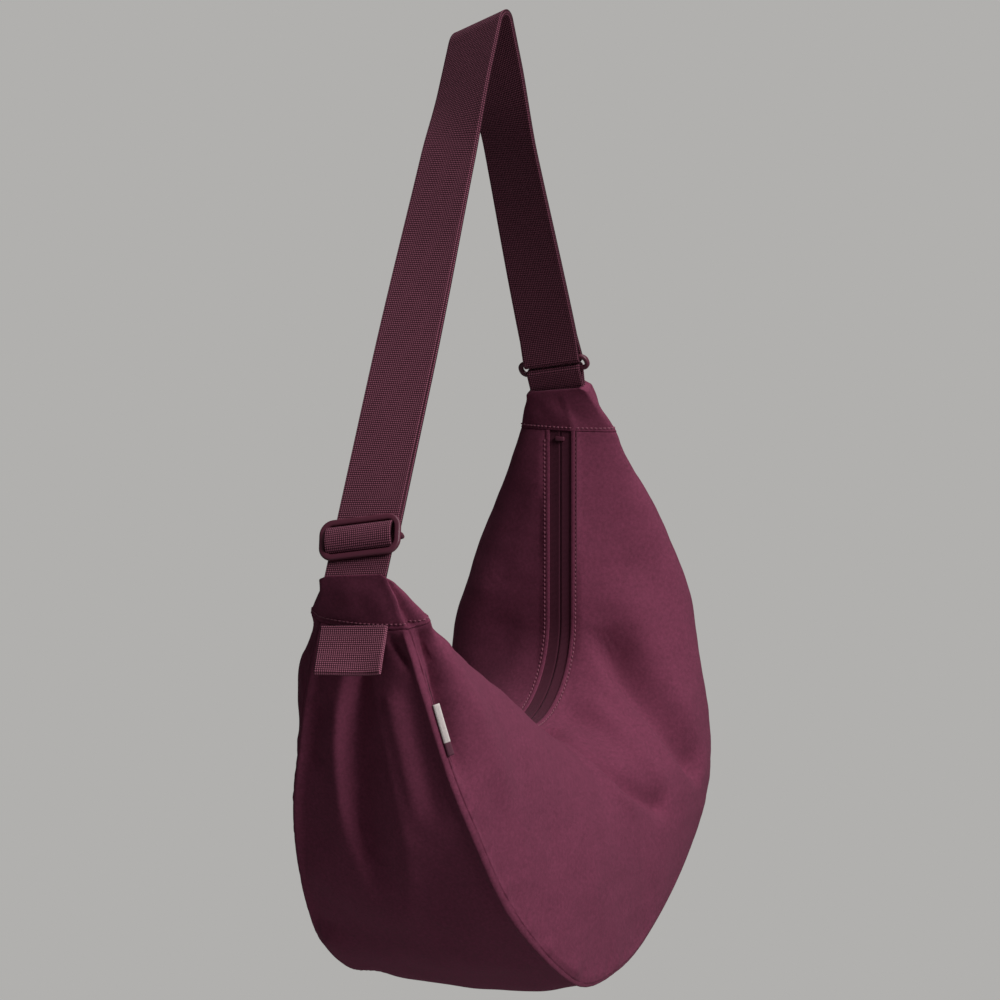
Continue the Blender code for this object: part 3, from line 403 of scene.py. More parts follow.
FRONT_FOLDS = (
    Fold(((0.000, 0.960), (0.029, 0.962), (0.052, 0.962), (0.079, 0.958), (0.102, 0.950), (0.148, 0.940)),
         8.0, 8.5, 3.8, 0.04, 0.4),
    Fold(((0.017, 0.800), (0.048, 0.739), (0.083, 0.681), (0.133, 0.622), (0.171, 0.647), (0.206, 0.706),
          (0.237, 0.773)), -4.6, 14.0, 14.0, 0.1, 0.4),
    Fold(((0.722, 0.090), (0.694, 0.150), (0.662, 0.250), (0.645, 0.370), (0.638, 0.520), (0.640, 0.660),
          (0.646, 0.760), (0.652, 0.850)), 9.5, 14.0, 7.0, 0.22, 0.14),
    Fold(((0.510, 0.034), (0.480, 0.160), (0.487, 0.303), (0.512, 0.440), (0.540, 0.560), (0.570, 0.680)),
         6.4, 9.0, 5.0, 0.02, 0.10),
    Fold(((0.480, 0.060), (0.462, 0.190), (0.468, 0.330), (0.494, 0.480), (0.528, 0.610)), -2.4, 6.0, 7.0),
    Fold(((0.560, 0.020), (0.560, 0.130), (0.568, 0.250), (0.574, 0.370)), 2.4, 9.0, 9.0, 0.2, 0.4),
    Fold(((0.625, 0.042), (0.598, 0.168), (0.575, 0.319), (0.575, 0.487), (0.598, 0.672)), -3.0, 9.0, 9.0),
    Fold(((0.813, 0.185), (0.767, 0.311), (0.717, 0.429), (0.687, 0.580), (0.675, 0.748)), -4.0, 16.0, 16.0),
)
BACK_FOLDS = (
    Fold(((0.712, 0.080), (0.690, 0.150), (0.656, 0.260), (0.640, 0.420), (0.640, 0.640)), 1.6, 12.0, 14.0),
    Fold(((0.510, 0.120), (0.482, 0.230), (0.490, 0.360), (0.520, 0.520), (0.560, 0.660)), 3.0, 3.0, 7.0),
    Fold(((0.020, 0.820), (0.060, 0.740), (0.120, 0.680), (0.200, 0.700)), -4.0, 13.0, 13.0),
    Fold(((0.800, 0.200), (0.750, 0.340), (0.700, 0.520), (0.680, 0.740)), -3.0, 16.0, 16.0),
)
GUSSET_FOLDS = (
    Fold(((0.004, 0.560), (0.040, 0.590), (0.060, 0.620), (0.085, 0.640), (0.115, 0.645), (0.145, 0.640),
          (0.175, 0.620), (0.210, 0.600), (0.250, 0.590)), 11.0, 18.0, 4.2, 0.05, 0.40),
    Fold(((0.020, 0.480), (0.037, 0.487), (0.056, 0.458), (0.071, 0.424), (0.087, 0.403), (0.102, 0.387),
          (0.117, 0.374), (0.137, 0.365), (0.167, 0.372), (0.190, 0.390), (0.217, 0.429), (0.252, 0.487),
          (0.287, 0.555)), -1.0, 7.0, 3.6, 0.08, 0.3),
    Fold(((0.048, 0.336), (0.067, 0.303), (0.087, 0.286), (0.106, 0.277), (0.125, 0.269), (0.148, 0.277),
          (0.171, 0.294)), -1.8, 8.0, 5.0, 0.1, 0.4),
    Fold(((0.033, 0.168), (0.056, 0.160), (0.083, 0.160), (0.106, 0.160), (0.133, 0.168), (0.164, 0.193)),
         2.0, 6.0, 7.0),
    Fold(((0.045, 0.700), (0.071, 0.712), (0.102, 0.705), (0.133, 0.700), (0.171, 0.720), (0.214, 0.780)),
         -2.0, 9.0, 8.0, 0.2, 0.4),
    Fold(((0.056, 0.900), (0.090, 0.900), (0.125, 0.900)), 2.2, 8.0, 8.0),
    Fold(((0.006, 0.240), (0.014, 0.190), (0.024, 0.120), (0.033, 0.050)), 3.4, 3.0, 3.0, 0.2, 0.3),
    Fold(((0.280, 0.960), (0.329, 0.916), (0.350, 0.890), (0.372, 0.820)), -6.0, 15.0, 15.0, 0.3, 0.3),
    Fold(((0.700, 0.500), (0.780, 0.480), (0.880, 0.500)), 8.0, 14.0, 14.0, 0.3, 0.3),
)


# Meshes from points


def grid_normals(grid: np.ndarray) -> np.ndarray:
    """Return the unit normals of a grid of points."""
    across = np.gradient(grid, axis=1)
    along = np.gradient(grid, axis=0)
    normals = np.cross(across, along)
    return normals / np.maximum(np.linalg.norm(normals, axis=2)[:, :, None], 1e-12)


def grid_lengths(grid: np.ndarray) -> np.ndarray:
    """Return flat coordinates in metres for a grid, along its middle row and down its rows."""
    along = lengths(grid[:, grid.shape[1] // 2])
    down = row_lengths(grid)
    down -= down[:, -1:] * 0.5
    return np.stack([np.repeat(along[:, None], grid.shape[1], axis=1), down], axis=2)


def link_mesh(name: str, verts: np.ndarray, faces: list, flats: np.ndarray | None) -> bpy.types.Object:
    """Make a smooth object from points, faces and flat coordinates.

    Args:
        name: The piece's name.
        verts: The points, one row each.
        faces: The faces as tuples of point numbers.
        flats: The flat coordinates of each point, in metres, or None.

    Returns:
        The new object.
    """
    mesh = bpy.data.meshes.new(name)
    mesh.from_pydata(verts.tolist(), [], faces)
    mesh.update()
    if flats is not None:
        layer = mesh.uv_layers.new(name="flat")
        numbers = np.empty(len(mesh.loops), dtype=np.int32)
        mesh.loops.foreach_get("vertex_index", numbers)
        layer.data.foreach_set("uv", flats[numbers].astype(np.float32).ravel())
    mesh.shade_smooth()
    obj = bpy.data.objects.new(name, mesh)
    bpy.context.scene.collection.objects.link(obj)
    return obj


def turn_outwards(obj: bpy.types.Object) -> bpy.types.Object:
    """Point a closed object's faces outwards."""
    bm = bmesh.new()
    bm.from_mesh(obj.data)
    bmesh.ops.recalc_face_normals(bm, faces=bm.faces)
    if bm.calc_volume(signed=True) < 0.0:
        bmesh.ops.reverse_faces(bm, faces=bm.faces)
    bm.to_mesh(obj.data)
    bm.free()
    return obj


def shell(name: str, outside: np.ndarray, inside: np.ndarray, flats: np.ndarray) -> bpy.types.Object:
    """Close two matching grids into one thin shell."""
    rows, cols = outside.shape[:2]
    shift = rows * cols
    verts = np.vstack([outside.reshape(-1, 3), inside.reshape(-1, 3)])
    index = np.arange(shift).reshape(rows, cols)
    a, b, c, d = index[:-1, :-1], index[:-1, 1:], index[1:, 1:], index[1:, :-1]
    top = np.stack([a, b, c, d], axis=2).reshape(-1, 4)
    faces = top.tolist() + (top[:, ::-1] + shift).tolist()
    rim = list(index[0, :]) + list(index[1:, -1]) + list(index[-1, -2::-1]) + list(index[-2:0:-1, 0])
    for k, first in enumerate(rim):
        second = rim[(k + 1) % len(rim)]
        faces.append((int(first), int(first + shift), int(second + shift), int(second)))
    both = np.vstack([flats.reshape(-1, 2), flats.reshape(-1, 2)])
    return turn_outwards(link_mesh(name, verts, faces, both))


def ring_faces(count: int, size: int, first: int = 0, closed: bool = False) -> list[tuple]:
    """Return the faces of a tube with capped ends, or of a loop.

    Args:
        count: How many rings it has.
        size: How many points a ring has.
        first: The number of its first point.
        closed: Whether the last ring joins the first.

    Returns:
        The faces as tuples of point numbers.
    """
    faces = []
    for i in range(count if closed else count - 1):
        low, high = first + i * size, first + (i + 1) % count * size
        faces += [(low + j, low + (j + 1) % size, high + (j + 1) % size, high + j) for j in range(size)]
    if not closed:
        last = first + (count - 1) * size
        faces += [tuple(range(first, first + size)), tuple(range(last + size - 1, last - 1, -1))]
    return faces


def rings_object(name: str, rings: np.ndarray, closed: bool = False,
                 flats: np.ndarray | None = None) -> bpy.types.Object:
    """Join rings of points into a tube with capped ends, or into a loop.

    Args:
        name: The piece's name.
        rings: Rings by points by three.
        closed: Whether the last ring joins the first.
        flats: Flat coordinates of each point, or None for the lengths along and round the piece.

    Returns:
        The new object.
    """
    count, size = rings.shape[:2]
    if flats is None:
        along = np.repeat(lengths(rings.mean(axis=1))[:, None], size, axis=1)
        flats = np.stack([along, row_lengths(rings)], axis=2).reshape(-1, 2)
    faces = ring_faces(count, size, closed=closed)
    return turn_outwards(link_mesh(name, rings.reshape(-1, 3), faces, flats))


def sweep(path: np.ndarray, sides: np.ndarray, ups: np.ndarray, profile: np.ndarray) -> np.ndarray:
    """Return the rings that a flat profile leaves along a path.

    Args:
        path: The path's points.
        sides: The direction of the profile's first number, one for all points or one for each.
        ups: The direction of its second number at each point.
        profile: The profile's points.

    Returns:
        Rings by points by three.
    """
    sides = np.broadcast_to(sides, path.shape)
    return path[:, None] + sides[:, None] * profile[:, :1] + ups[:, None] * profile[:, 1:]


def tube_rings(path: np.ndarray, half_up: float, half_side: float, side_way: np.ndarray,
               sides: int = 10) -> np.ndarray:
    """Return oval rings along a path.

    Args:
        path: The path's points.
        half_up: Half height of the oval.
        half_side: Half width of the oval, along side_way.
        side_way: One direction for all rings, or one for each.
        sides: Points in a ring.

    Returns:
        The rings.
    """
    ways = unit(np.gradient(path, axis=0))
    side = np.broadcast_to(side_way, path.shape).astype(float)
    side = unit(side - ways * np.einsum("ij,ij->i", side, ways)[:, None])
    oval = circle(2.0 * math.pi * np.arange(sides) / sides) * (half_side, half_up)
    return sweep(path, side, np.cross(ways, side), oval)


def band_profile(width: float, thickness: float, strips: int) -> np.ndarray:
    """Return the closed cross-section of a woven band, with rounded edges and a slight selvedge bead."""
    shares = np.linspace(-1.0, 1.0, strips)
    half = (width - thickness) * 0.5
    bead = 1.0 + 0.10 * ramp(np.abs(shares), 0.90, 0.97)
    upper = np.stack([shares * half, 0.5 * thickness * bead], axis=1)
    right = (half, 0.0) + 0.55 * thickness * circle(np.radians(np.linspace(60.0, -60.0, 4)))
    lower = upper[::-1] * (1.0, -1.0)
    left = right[::-1] * (-1.0, 1.0)
    return np.vstack([upper, right, lower, left])


def band(name: str, path: np.ndarray, width: float, thickness: float, across: np.ndarray,
         strips: int = 24) -> bpy.types.Object:
    """Sweep a woven band along a path.

    Args:
        name: The piece's name.
        path: The middle line of the band.
        width: The band's width.
        thickness: Its thickness.
        across: The direction of its width.
        strips: Points across one face.

    Returns:
        The band, with flat coordinates in metres: along it, and across it from its middle.
    """
    ups = unit(np.cross(np.gradient(path, axis=0), across))
    profile = band_profile(width, thickness, strips)
    flats = np.stack([np.repeat(lengths(path), len(profile)), np.tile(profile[:, 0], len(path))], axis=1)
    return rings_object(name, sweep(path, across, ups, profile), flats=flats)


@dataclass(frozen=True)
class Stitching:
    """A run of thread stitches that lie on the cloth.

    The outline has a row for each ring of one stitch: shares of its length, of its radius and of its lift.
    """

    pitch: float = 0.0028
    length: float = 0.0020
    radius: float = 0.00042
    look_ahead: float = 0.0004
    sides: int = 6
    outline: tuple = ((-0.5, 0.25, -0.5), (-0.34, 1.0, 0.7), (0.34, 1.0, 0.7), (0.5, 0.25, -0.5))

    def sew(self, name: str, line: np.ndarray, normals: np.ndarray) -> bpy.types.Object:
        """Lay one stitch at each pitch along a line.

        Args:
            name: The piece's name.
            line: Points on the cloth's face.
            normals: Outward normals there.

        Returns:
            One object that holds all the stitches.
        """
        along = lengths(line)
        angles = 2.0 * math.pi * np.arange(self.sides) / self.sides
        verts, faces = [], []
        for start in np.arange(self.pitch, along[-1] - self.length, self.pitch):
            faces += ring_faces(len(self.outline), self.sides, len(verts))
            middle, up = points_at(start, along, line), points_at(start, along, normals)
            way = unit(points_at(start + self.look_ahead, along, line) - middle)
            round_way = circle(angles) @ np.array([unit(np.cross(way, up)), up])
            for share, size, lift in self.outline:
                centre = middle + way * self.length * share + up * self.radius * lift
                verts.extend(centre + round_way * self.radius * size)
        return turn_outwards(link_mesh(name, np.array(verts), faces, None))


# Finishes


class Wiring:
    """A short way to add and join the nodes of one node tree."""

    def __init__(self, tree: bpy.types.NodeTree) -> None:
        """Keep the tree."""
        self.tree = tree

    def add(self, kind: str, inputs: dict | None = None, **settings: object) -> bpy.types.Node:
        """Add a node.

        Args:
            kind: The node's type.
            inputs: Values or sockets for its inputs, by name or number.
            settings: Its other properties.

        Returns:
            The node.
        """
        node = self.tree.nodes.new(kind)
        for key, value in settings.items():
            setattr(node, key, value)
        self.feed(node, inputs or {})
        return node

    def feed(self, node: bpy.types.Node, inputs: dict) -> None:
        """Set a node's inputs to values, or join them to sockets, by name or number."""
        for key, value in inputs.items():
            if isinstance(value, bpy.types.NodeSocket):
                self.tree.links.new(value, node.inputs[key])
            else:
                node.inputs[key].default_value = value

    def maths(self, operation: str, *values: object) -> bpy.types.NodeSocket:
        """Add a Math node and return its value."""
        return self.add("ShaderNodeMath", dict(enumerate(values)), operation=operation).outputs[0]

    def mix(self, share: bpy.types.NodeSocket, low: tuple, high: tuple) -> bpy.types.NodeSocket:
        """Mix two colours by a share and return the mixed colour."""
        node = self.add("ShaderNodeMix", {"Factor": share}, data_type="RGBA")
        self.feed(node, {6: (*low, 1.0), 7: (*high, 1.0)})
        return node.outputs[2]

    def bump(self, height: bpy.types.NodeSocket, distance: float, strength: float) -> bpy.types.NodeSocket:
        """Turn a height into a bumped normal."""
        return self.add("ShaderNodeBump", {"Height": height, "Distance": distance,
                                           "Strength": strength}).outputs[0]

    def use(self, group: bpy.types.NodeTree, inputs: dict) -> bpy.types.Node:
        """Place a shared group with its own values."""
        return self.add("ShaderNodeGroup", inputs, node_tree=group)


def start_group(name: str, inputs: Sequence[tuple], outputs: Sequence[tuple]) -> tuple:
    """Start a node group with named sockets.

    Args:
        name: The group's name.
        inputs: Name, socket type and default of each input.
        outputs: Name and socket type of each output.

    Returns:
        The tree, its wiring, its input node and its output node.
    """
    tree = bpy.data.node_groups.new(name, "ShaderNodeTree")
    for label, kind, default in inputs:
        socket = tree.interface.new_socket(label, in_out="INPUT", socket_type=kind)
        if default is not None:
            socket.default_value = default
    for label, kind in outputs:
        tree.interface.new_socket(label, in_out="OUTPUT", socket_type=kind)
    return tree, Wiring(tree), tree.nodes.new("NodeGroupInput"), tree.nodes.new("NodeGroupOutput")


def weave_group() -> bpy.types.NodeTree:
    """Build the shared plain weave: rows of raised threads, and the share of painted shade in the gaps
    between them.
    """
    tree, w, given, out = start_group(
        "PlainWeave", (("Flat", "NodeSocketVector", None), ("Threads Along", "NodeSocketFloat", 700.0),
                       ("Threads Across", "NodeSocketFloat", 700.0), ("Unevenness", "NodeSocketFloat", 0.2)),
        (("Height", "NodeSocketFloat"), ("Gap Shade", "NodeSocketFloat")))
    parts = w.add("ShaderNodeSeparateXYZ", {0: given.outputs["Flat"]})
    noise = w.add("ShaderNodeTexNoise", {"Vector": given.outputs["Flat"], "Scale": 260.0, "Detail": 2.0})
    slip = w.maths("MULTIPLY", w.maths("SUBTRACT", noise.outputs["Fac"], 0.5), given.outputs["Unevenness"])
    waves = []
    for axis, threads in (("X", "Threads Along"), ("Y", "Threads Across")):
        place = w.maths("ADD", w.maths("MULTIPLY", parts.outputs[axis], given.outputs[threads]), slip)
        waves.append(w.maths("ABSOLUTE", w.maths("SINE", w.maths("MULTIPLY", place, math.pi))))
    dots = w.maths("MULTIPLY", *waves)
    # The second output marks the gaps between the threads, where shade is painted into the colour.
    w.feed(out, {"Height": w.maths("POWER", dots, 0.6), "Gap Shade": w.maths("SUBTRACT", 1.0, dots)})
    return tree


def drift_group() -> bpy.types.NodeTree:
    """Build the shared slow drift of tone that dye and handling leave."""
    tree, w, given, out = start_group(
        "ToneDrift", (("Place", "NodeSocketVector", None), ("Colour", "NodeSocketColor", None),
                      ("Broad", "NodeSocketFloat", 0.08), ("Fine", "NodeSocketFloat", 0.05),
                      ("Fine Scale", "NodeSocketFloat", 520.0)),
        (("Colour", "NodeSocketColor"), ("Amount", "NodeSocketFloat")))
    broad = w.add("ShaderNodeTexNoise", {"Vector": given.outputs["Place"], "Scale": 40.0, "Detail": 4.0})
    fine = w.add("ShaderNodeTexNoise", {
        "Vector": given.outputs["Place"], "Scale": given.outputs["Fine Scale"],
        "Detail": 2.0, "Roughness": 0.7})
    part = w.maths("MULTIPLY", w.maths("SUBTRACT", broad.outputs["Fac"], 0.5), given.outputs["Broad"])
    rest = w.maths("MULTIPLY", w.maths("SUBTRACT", fine.outputs["Fac"], 0.5), given.outputs["Fine"])
    total = w.maths("ADD", w.maths("MULTIPLY", w.maths("ADD", part, rest), 2.0), 1.0)
    scaled = w.add("ShaderNodeVectorMath", {0: given.outputs["Colour"], "Scale": total}, operation="SCALE")
    w.feed(out, {"Colour": scaled.outputs[0], "Amount": total})
    return tree


def scuff_group() -> bpy.types.NodeTree:
    """Build the shared fine scuffs of handled plastic and metal."""
    tree, w, given, out = start_group(
        "Scuffs", (("Place", "NodeSocketVector", None), ("Amount", "NodeSocketFloat", 0.1)),
        (("Roughness Shift", "NodeSocketFloat"), ("Height", "NodeSocketFloat")))
    stretch = w.add("ShaderNodeMapping", {"Vector": given.outputs["Place"], "Scale": (900.0, 120.0, 300.0)})
    streaks = w.add("ShaderNodeTexNoise", {"Vector": stretch.outputs[0], "Scale": 1.0, "Detail": 3.0})
    grain = w.add("ShaderNodeTexNoise", {"Vector": given.outputs["Place"], "Scale": 2600.0, "Detail": 1.0})
    shift = w.maths("MULTIPLY", w.maths("SUBTRACT", streaks.outputs["Fac"], 0.45), given.outputs["Amount"])
    w.feed(out, {"Roughness Shift": shift, "Height": w.maths("ADD", grain.outputs["Fac"], shift)})
    return tree


@dataclass
class SharedGroups:
    """The node groups that several finishes share."""

    weave: bpy.types.NodeTree = field(default_factory=weave_group)
    drift: bpy.types.NodeTree = field(default_factory=drift_group)
    scuffs: bpy.types.NodeTree = field(default_factory=scuff_group)


def start_material(name: str) -> tuple[bpy.types.Material, Wiring, bpy.types.Node]:
    """Start a material and return it with its wiring and its Principled shader."""
    made = bpy.data.materials.new(name)
    made.use_nodes = True
    shader = made.node_tree.nodes["Principled BSDF"]
    return made, Wiring(made.node_tree), shader


@dataclass(frozen=True)
class ClothFinish:
    """Fine technical cloth, webbing or lining: a weave in flat coordinates with painted shade between its
    threads.

    Threads are counted per metre, along and across the piece.
    """

    name: str
    colour: tuple
    # The gap colour, its share and its range set the painted shade between the threads.
    gap_shade_colour: tuple = (0.030, 0.006, 0.012)
    threads: tuple = (3000.0, 3000.0)
    bump: float = 0.00006
    gap_shade_share: float = 0.4
    roughness: float = 0.80
    sheen: float = 0.05
    broad: float = 0.10
    fine: float = 0.10
    unevenness: float = 0.25
    gap_shade_range: tuple = (0.35, 0.95)
    bump_strength: float = 0.8
    sheen_roughness: float = 0.45
    sheen_tint: tuple = (1.0, 0.72, 0.84)
    specular: float = 0.12

    def make(self, shared: SharedGroups) -> bpy.types.Material:
        """Build the material."""
        made, w, shader = start_material(self.name)
        coords = w.add("ShaderNodeTexCoord")
        weave = w.use(shared.weave, {"Flat": coords.outputs["UV"], "Threads Along": self.threads[0],
                                     "Threads Across": self.threads[1], "Unevenness": self.unevenness})
        # Painted shade: the gaps between the threads darken towards the gap colour.
        gap = w.add("ShaderNodeMapRange", {
            "Value": weave.outputs["Gap Shade"], "From Min": self.gap_shade_range[0], "From Max": self.gap_shade_range[1],
            "To Min": 0.0, "To Max": self.gap_shade_share})
        base = w.mix(gap.outputs[0], self.colour, self.gap_shade_colour)
        drift = w.use(shared.drift, {"Place": coords.outputs["Object"], "Colour": base,
                                     "Broad": self.broad, "Fine": self.fine})
        w.feed(shader, {
            "Base Color": drift.outputs["Colour"],
            "Roughness": w.maths("MULTIPLY", drift.outputs["Amount"], self.roughness),
            "Normal": w.bump(weave.outputs["Height"], self.bump, self.bump_strength),
            "Sheen Weight": self.sheen, "Sheen Roughness": self.sheen_roughness,
            "Sheen Tint": (*self.sheen_tint, 1.0), "Specular IOR Level": self.specular})
        return made


@dataclass(frozen=True)
class HardFinish:
    """Moulded plastic or painted metal with fine grain and scuffs."""

    name: str
    colour: tuple
    roughness: float
    metallic: float = 0.0
    coat: float = 0.05
    scuffs: float = 0.16
    grain: float = 0.00002
    grain_strength: float = 0.6
    broad: float = 0.10
    fine: float = 0.10
    fine_scale: float = 1500.0

    def make(self, shared: SharedGroups) -> bpy.types.Material:
        """Build the material."""
        made, w, shader = start_material(self.name)
        coords = w.add("ShaderNodeTexCoord")
        drift = w.use(shared.drift, {"Place": coords.outputs["Object"], "Colour": (*self.colour, 1.0),
                                     "Broad": self.broad, "Fine": self.fine, "Fine Scale": self.fine_scale})
        scuff = w.use(shared.scuffs, {"Place": coords.outputs["Object"], "Amount": self.scuffs})
        w.feed(shader, {
            "Base Color": drift.outputs["Colour"],
            "Roughness": w.maths("ADD", scuff.outputs["Roughness Shift"], self.roughness),
            "Normal": w.bump(scuff.outputs["Height"], self.grain, self.grain_strength),
            "Metallic": self.metallic, "Coat Weight": self.coat})
        return made


@dataclass(frozen=True)
class LabelFinish:
    """A bare woven label, pale over three quarters of its length and dark over the rest."""

    name: str = "woven_label"
    pale: tuple = (0.82, 0.72, 0.70)
    dark: tuple = (0.14, 0.035, 0.065)
    length: float = 0.032
    dark_share: float = 0.26
    blur: float = 0.0003
    threads: tuple = (2600.0, 1500.0)
    unevenness: float = 0.3
    broad: float = 0.08
    fine: float = 0.16
    bump: float = 0.00012
    bump_strength: float = 0.9
    roughness: float = 0.7

    def make(self, shared: SharedGroups) -> bpy.types.Material:
        """Build the material."""
        made, w, shader = start_material(self.name)
        coords = w.add("ShaderNodeTexCoord")
        parts = w.add("ShaderNodeSeparateXYZ", {0: coords.outputs["UV"]})
        edge = self.length * (1.0 - self.dark_share)
        mask = w.add("ShaderNodeMapRange", {"Value": parts.outputs["X"], "From Min": edge - self.blur,
                                            "From Max": edge + self.blur})
        weave = w.use(shared.weave, {"Flat": coords.outputs["UV"], "Threads Along": self.threads[0],
                                     "Threads Across": self.threads[1], "Unevenness": self.unevenness})
        drift = w.use(shared.drift, {
            "Place": coords.outputs["Object"], "Colour": w.mix(mask.outputs[0], self.pale, self.dark),
            "Broad": self.broad, "Fine": self.fine})
        w.feed(shader, {
            "Base Color": drift.outputs["Colour"],
            "Roughness": w.maths("MULTIPLY", drift.outputs["Amount"], self.roughness),
            "Normal": w.bump(weave.outputs["Height"], self.bump, self.bump_strength)})
        return made


@dataclass
class Finishes:
    """Every finish of the bag."""

    shared: SharedGroups = field(default_factory=SharedGroups)
    made: dict = field(default_factory=dict)

    def __post_init__(self) -> None:
        """Build the materials."""
        # The gap colours here are painted shade between the threads of each weave.
        webbing = ClothFinish("strap_webbing", (0.310, 0.096, 0.150), gap_shade_colour=(0.026, 0.005, 0.010),
                              threads=(770.0, 800.0), bump=0.00050, gap_shade_share=0.95, broad=0.08, fine=0.16,
                              unevenness=0.15, gap_shade_range=(0.25, 0.85))
        for finish in (
                ClothFinish("fine_cloth", (0.215, 0.049, 0.094), gap_shade_colour=(0.140, 0.030, 0.060),
                            threads=(2300.0, 2500.0), bump=0.00010, gap_shade_share=0.50, roughness=0.85,
                            sheen=0.04, fine=0.44),
                webbing,
                replace(webbing, name="tab_webbing", colour=(0.480, 0.160, 0.240), threads=(770.0, 770.0),
                        unevenness=0.10),
                ClothFinish("bag_lining", (0.060, 0.014, 0.026), roughness=0.75),
                ClothFinish("zip_tape", (0.120, 0.028, 0.052), threads=(1300.0, 1700.0), bump=0.00022,
                            gap_shade_share=0.8, roughness=0.72, sheen=0.08, broad=0.08, fine=0.12,
                            unevenness=0.2),
                ClothFinish("sewing_thread", (0.360, 0.120, 0.180), gap_shade_colour=(0.12, 0.03, 0.05),
                            bump=0.00004, gap_shade_share=0.3, roughness=0.6, sheen=0.2),
                HardFinish("moulded_frame", (0.120, 0.026, 0.048), roughness=0.46),
                HardFinish("coil_plastic", (0.120, 0.026, 0.050), roughness=0.42, scuffs=0.10),
                HardFinish("painted_slider", (0.090, 0.022, 0.038), roughness=0.36, metallic=0.75, coat=0.2,
                           scuffs=0.22),
                LabelFinish()):
            self.made[finish.name] = finish.make(self.shared)

    def hand_over(self, obj: bpy.types.Object, look: str, body: str, *nodes: str, slot: str = "") -> None:
        """Dress a finished piece, and let it ride on a body and stand for CAD nodes.

        Args:
            obj: The piece.
            look: The name of its finish.
            body: The body that it moves with.
            nodes: The nodes that it replaces.
            slot: A node name, given where the piece replaces none; not used.
        """
        obj.data.materials.clear()
        obj.data.materials.append(self.made[look])
        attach(obj, body)
        if nodes:
            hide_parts(*nodes)
        LOG.info("%s rides on %s with %d faces", obj.name, body, len(obj.data.polygons))


# Body


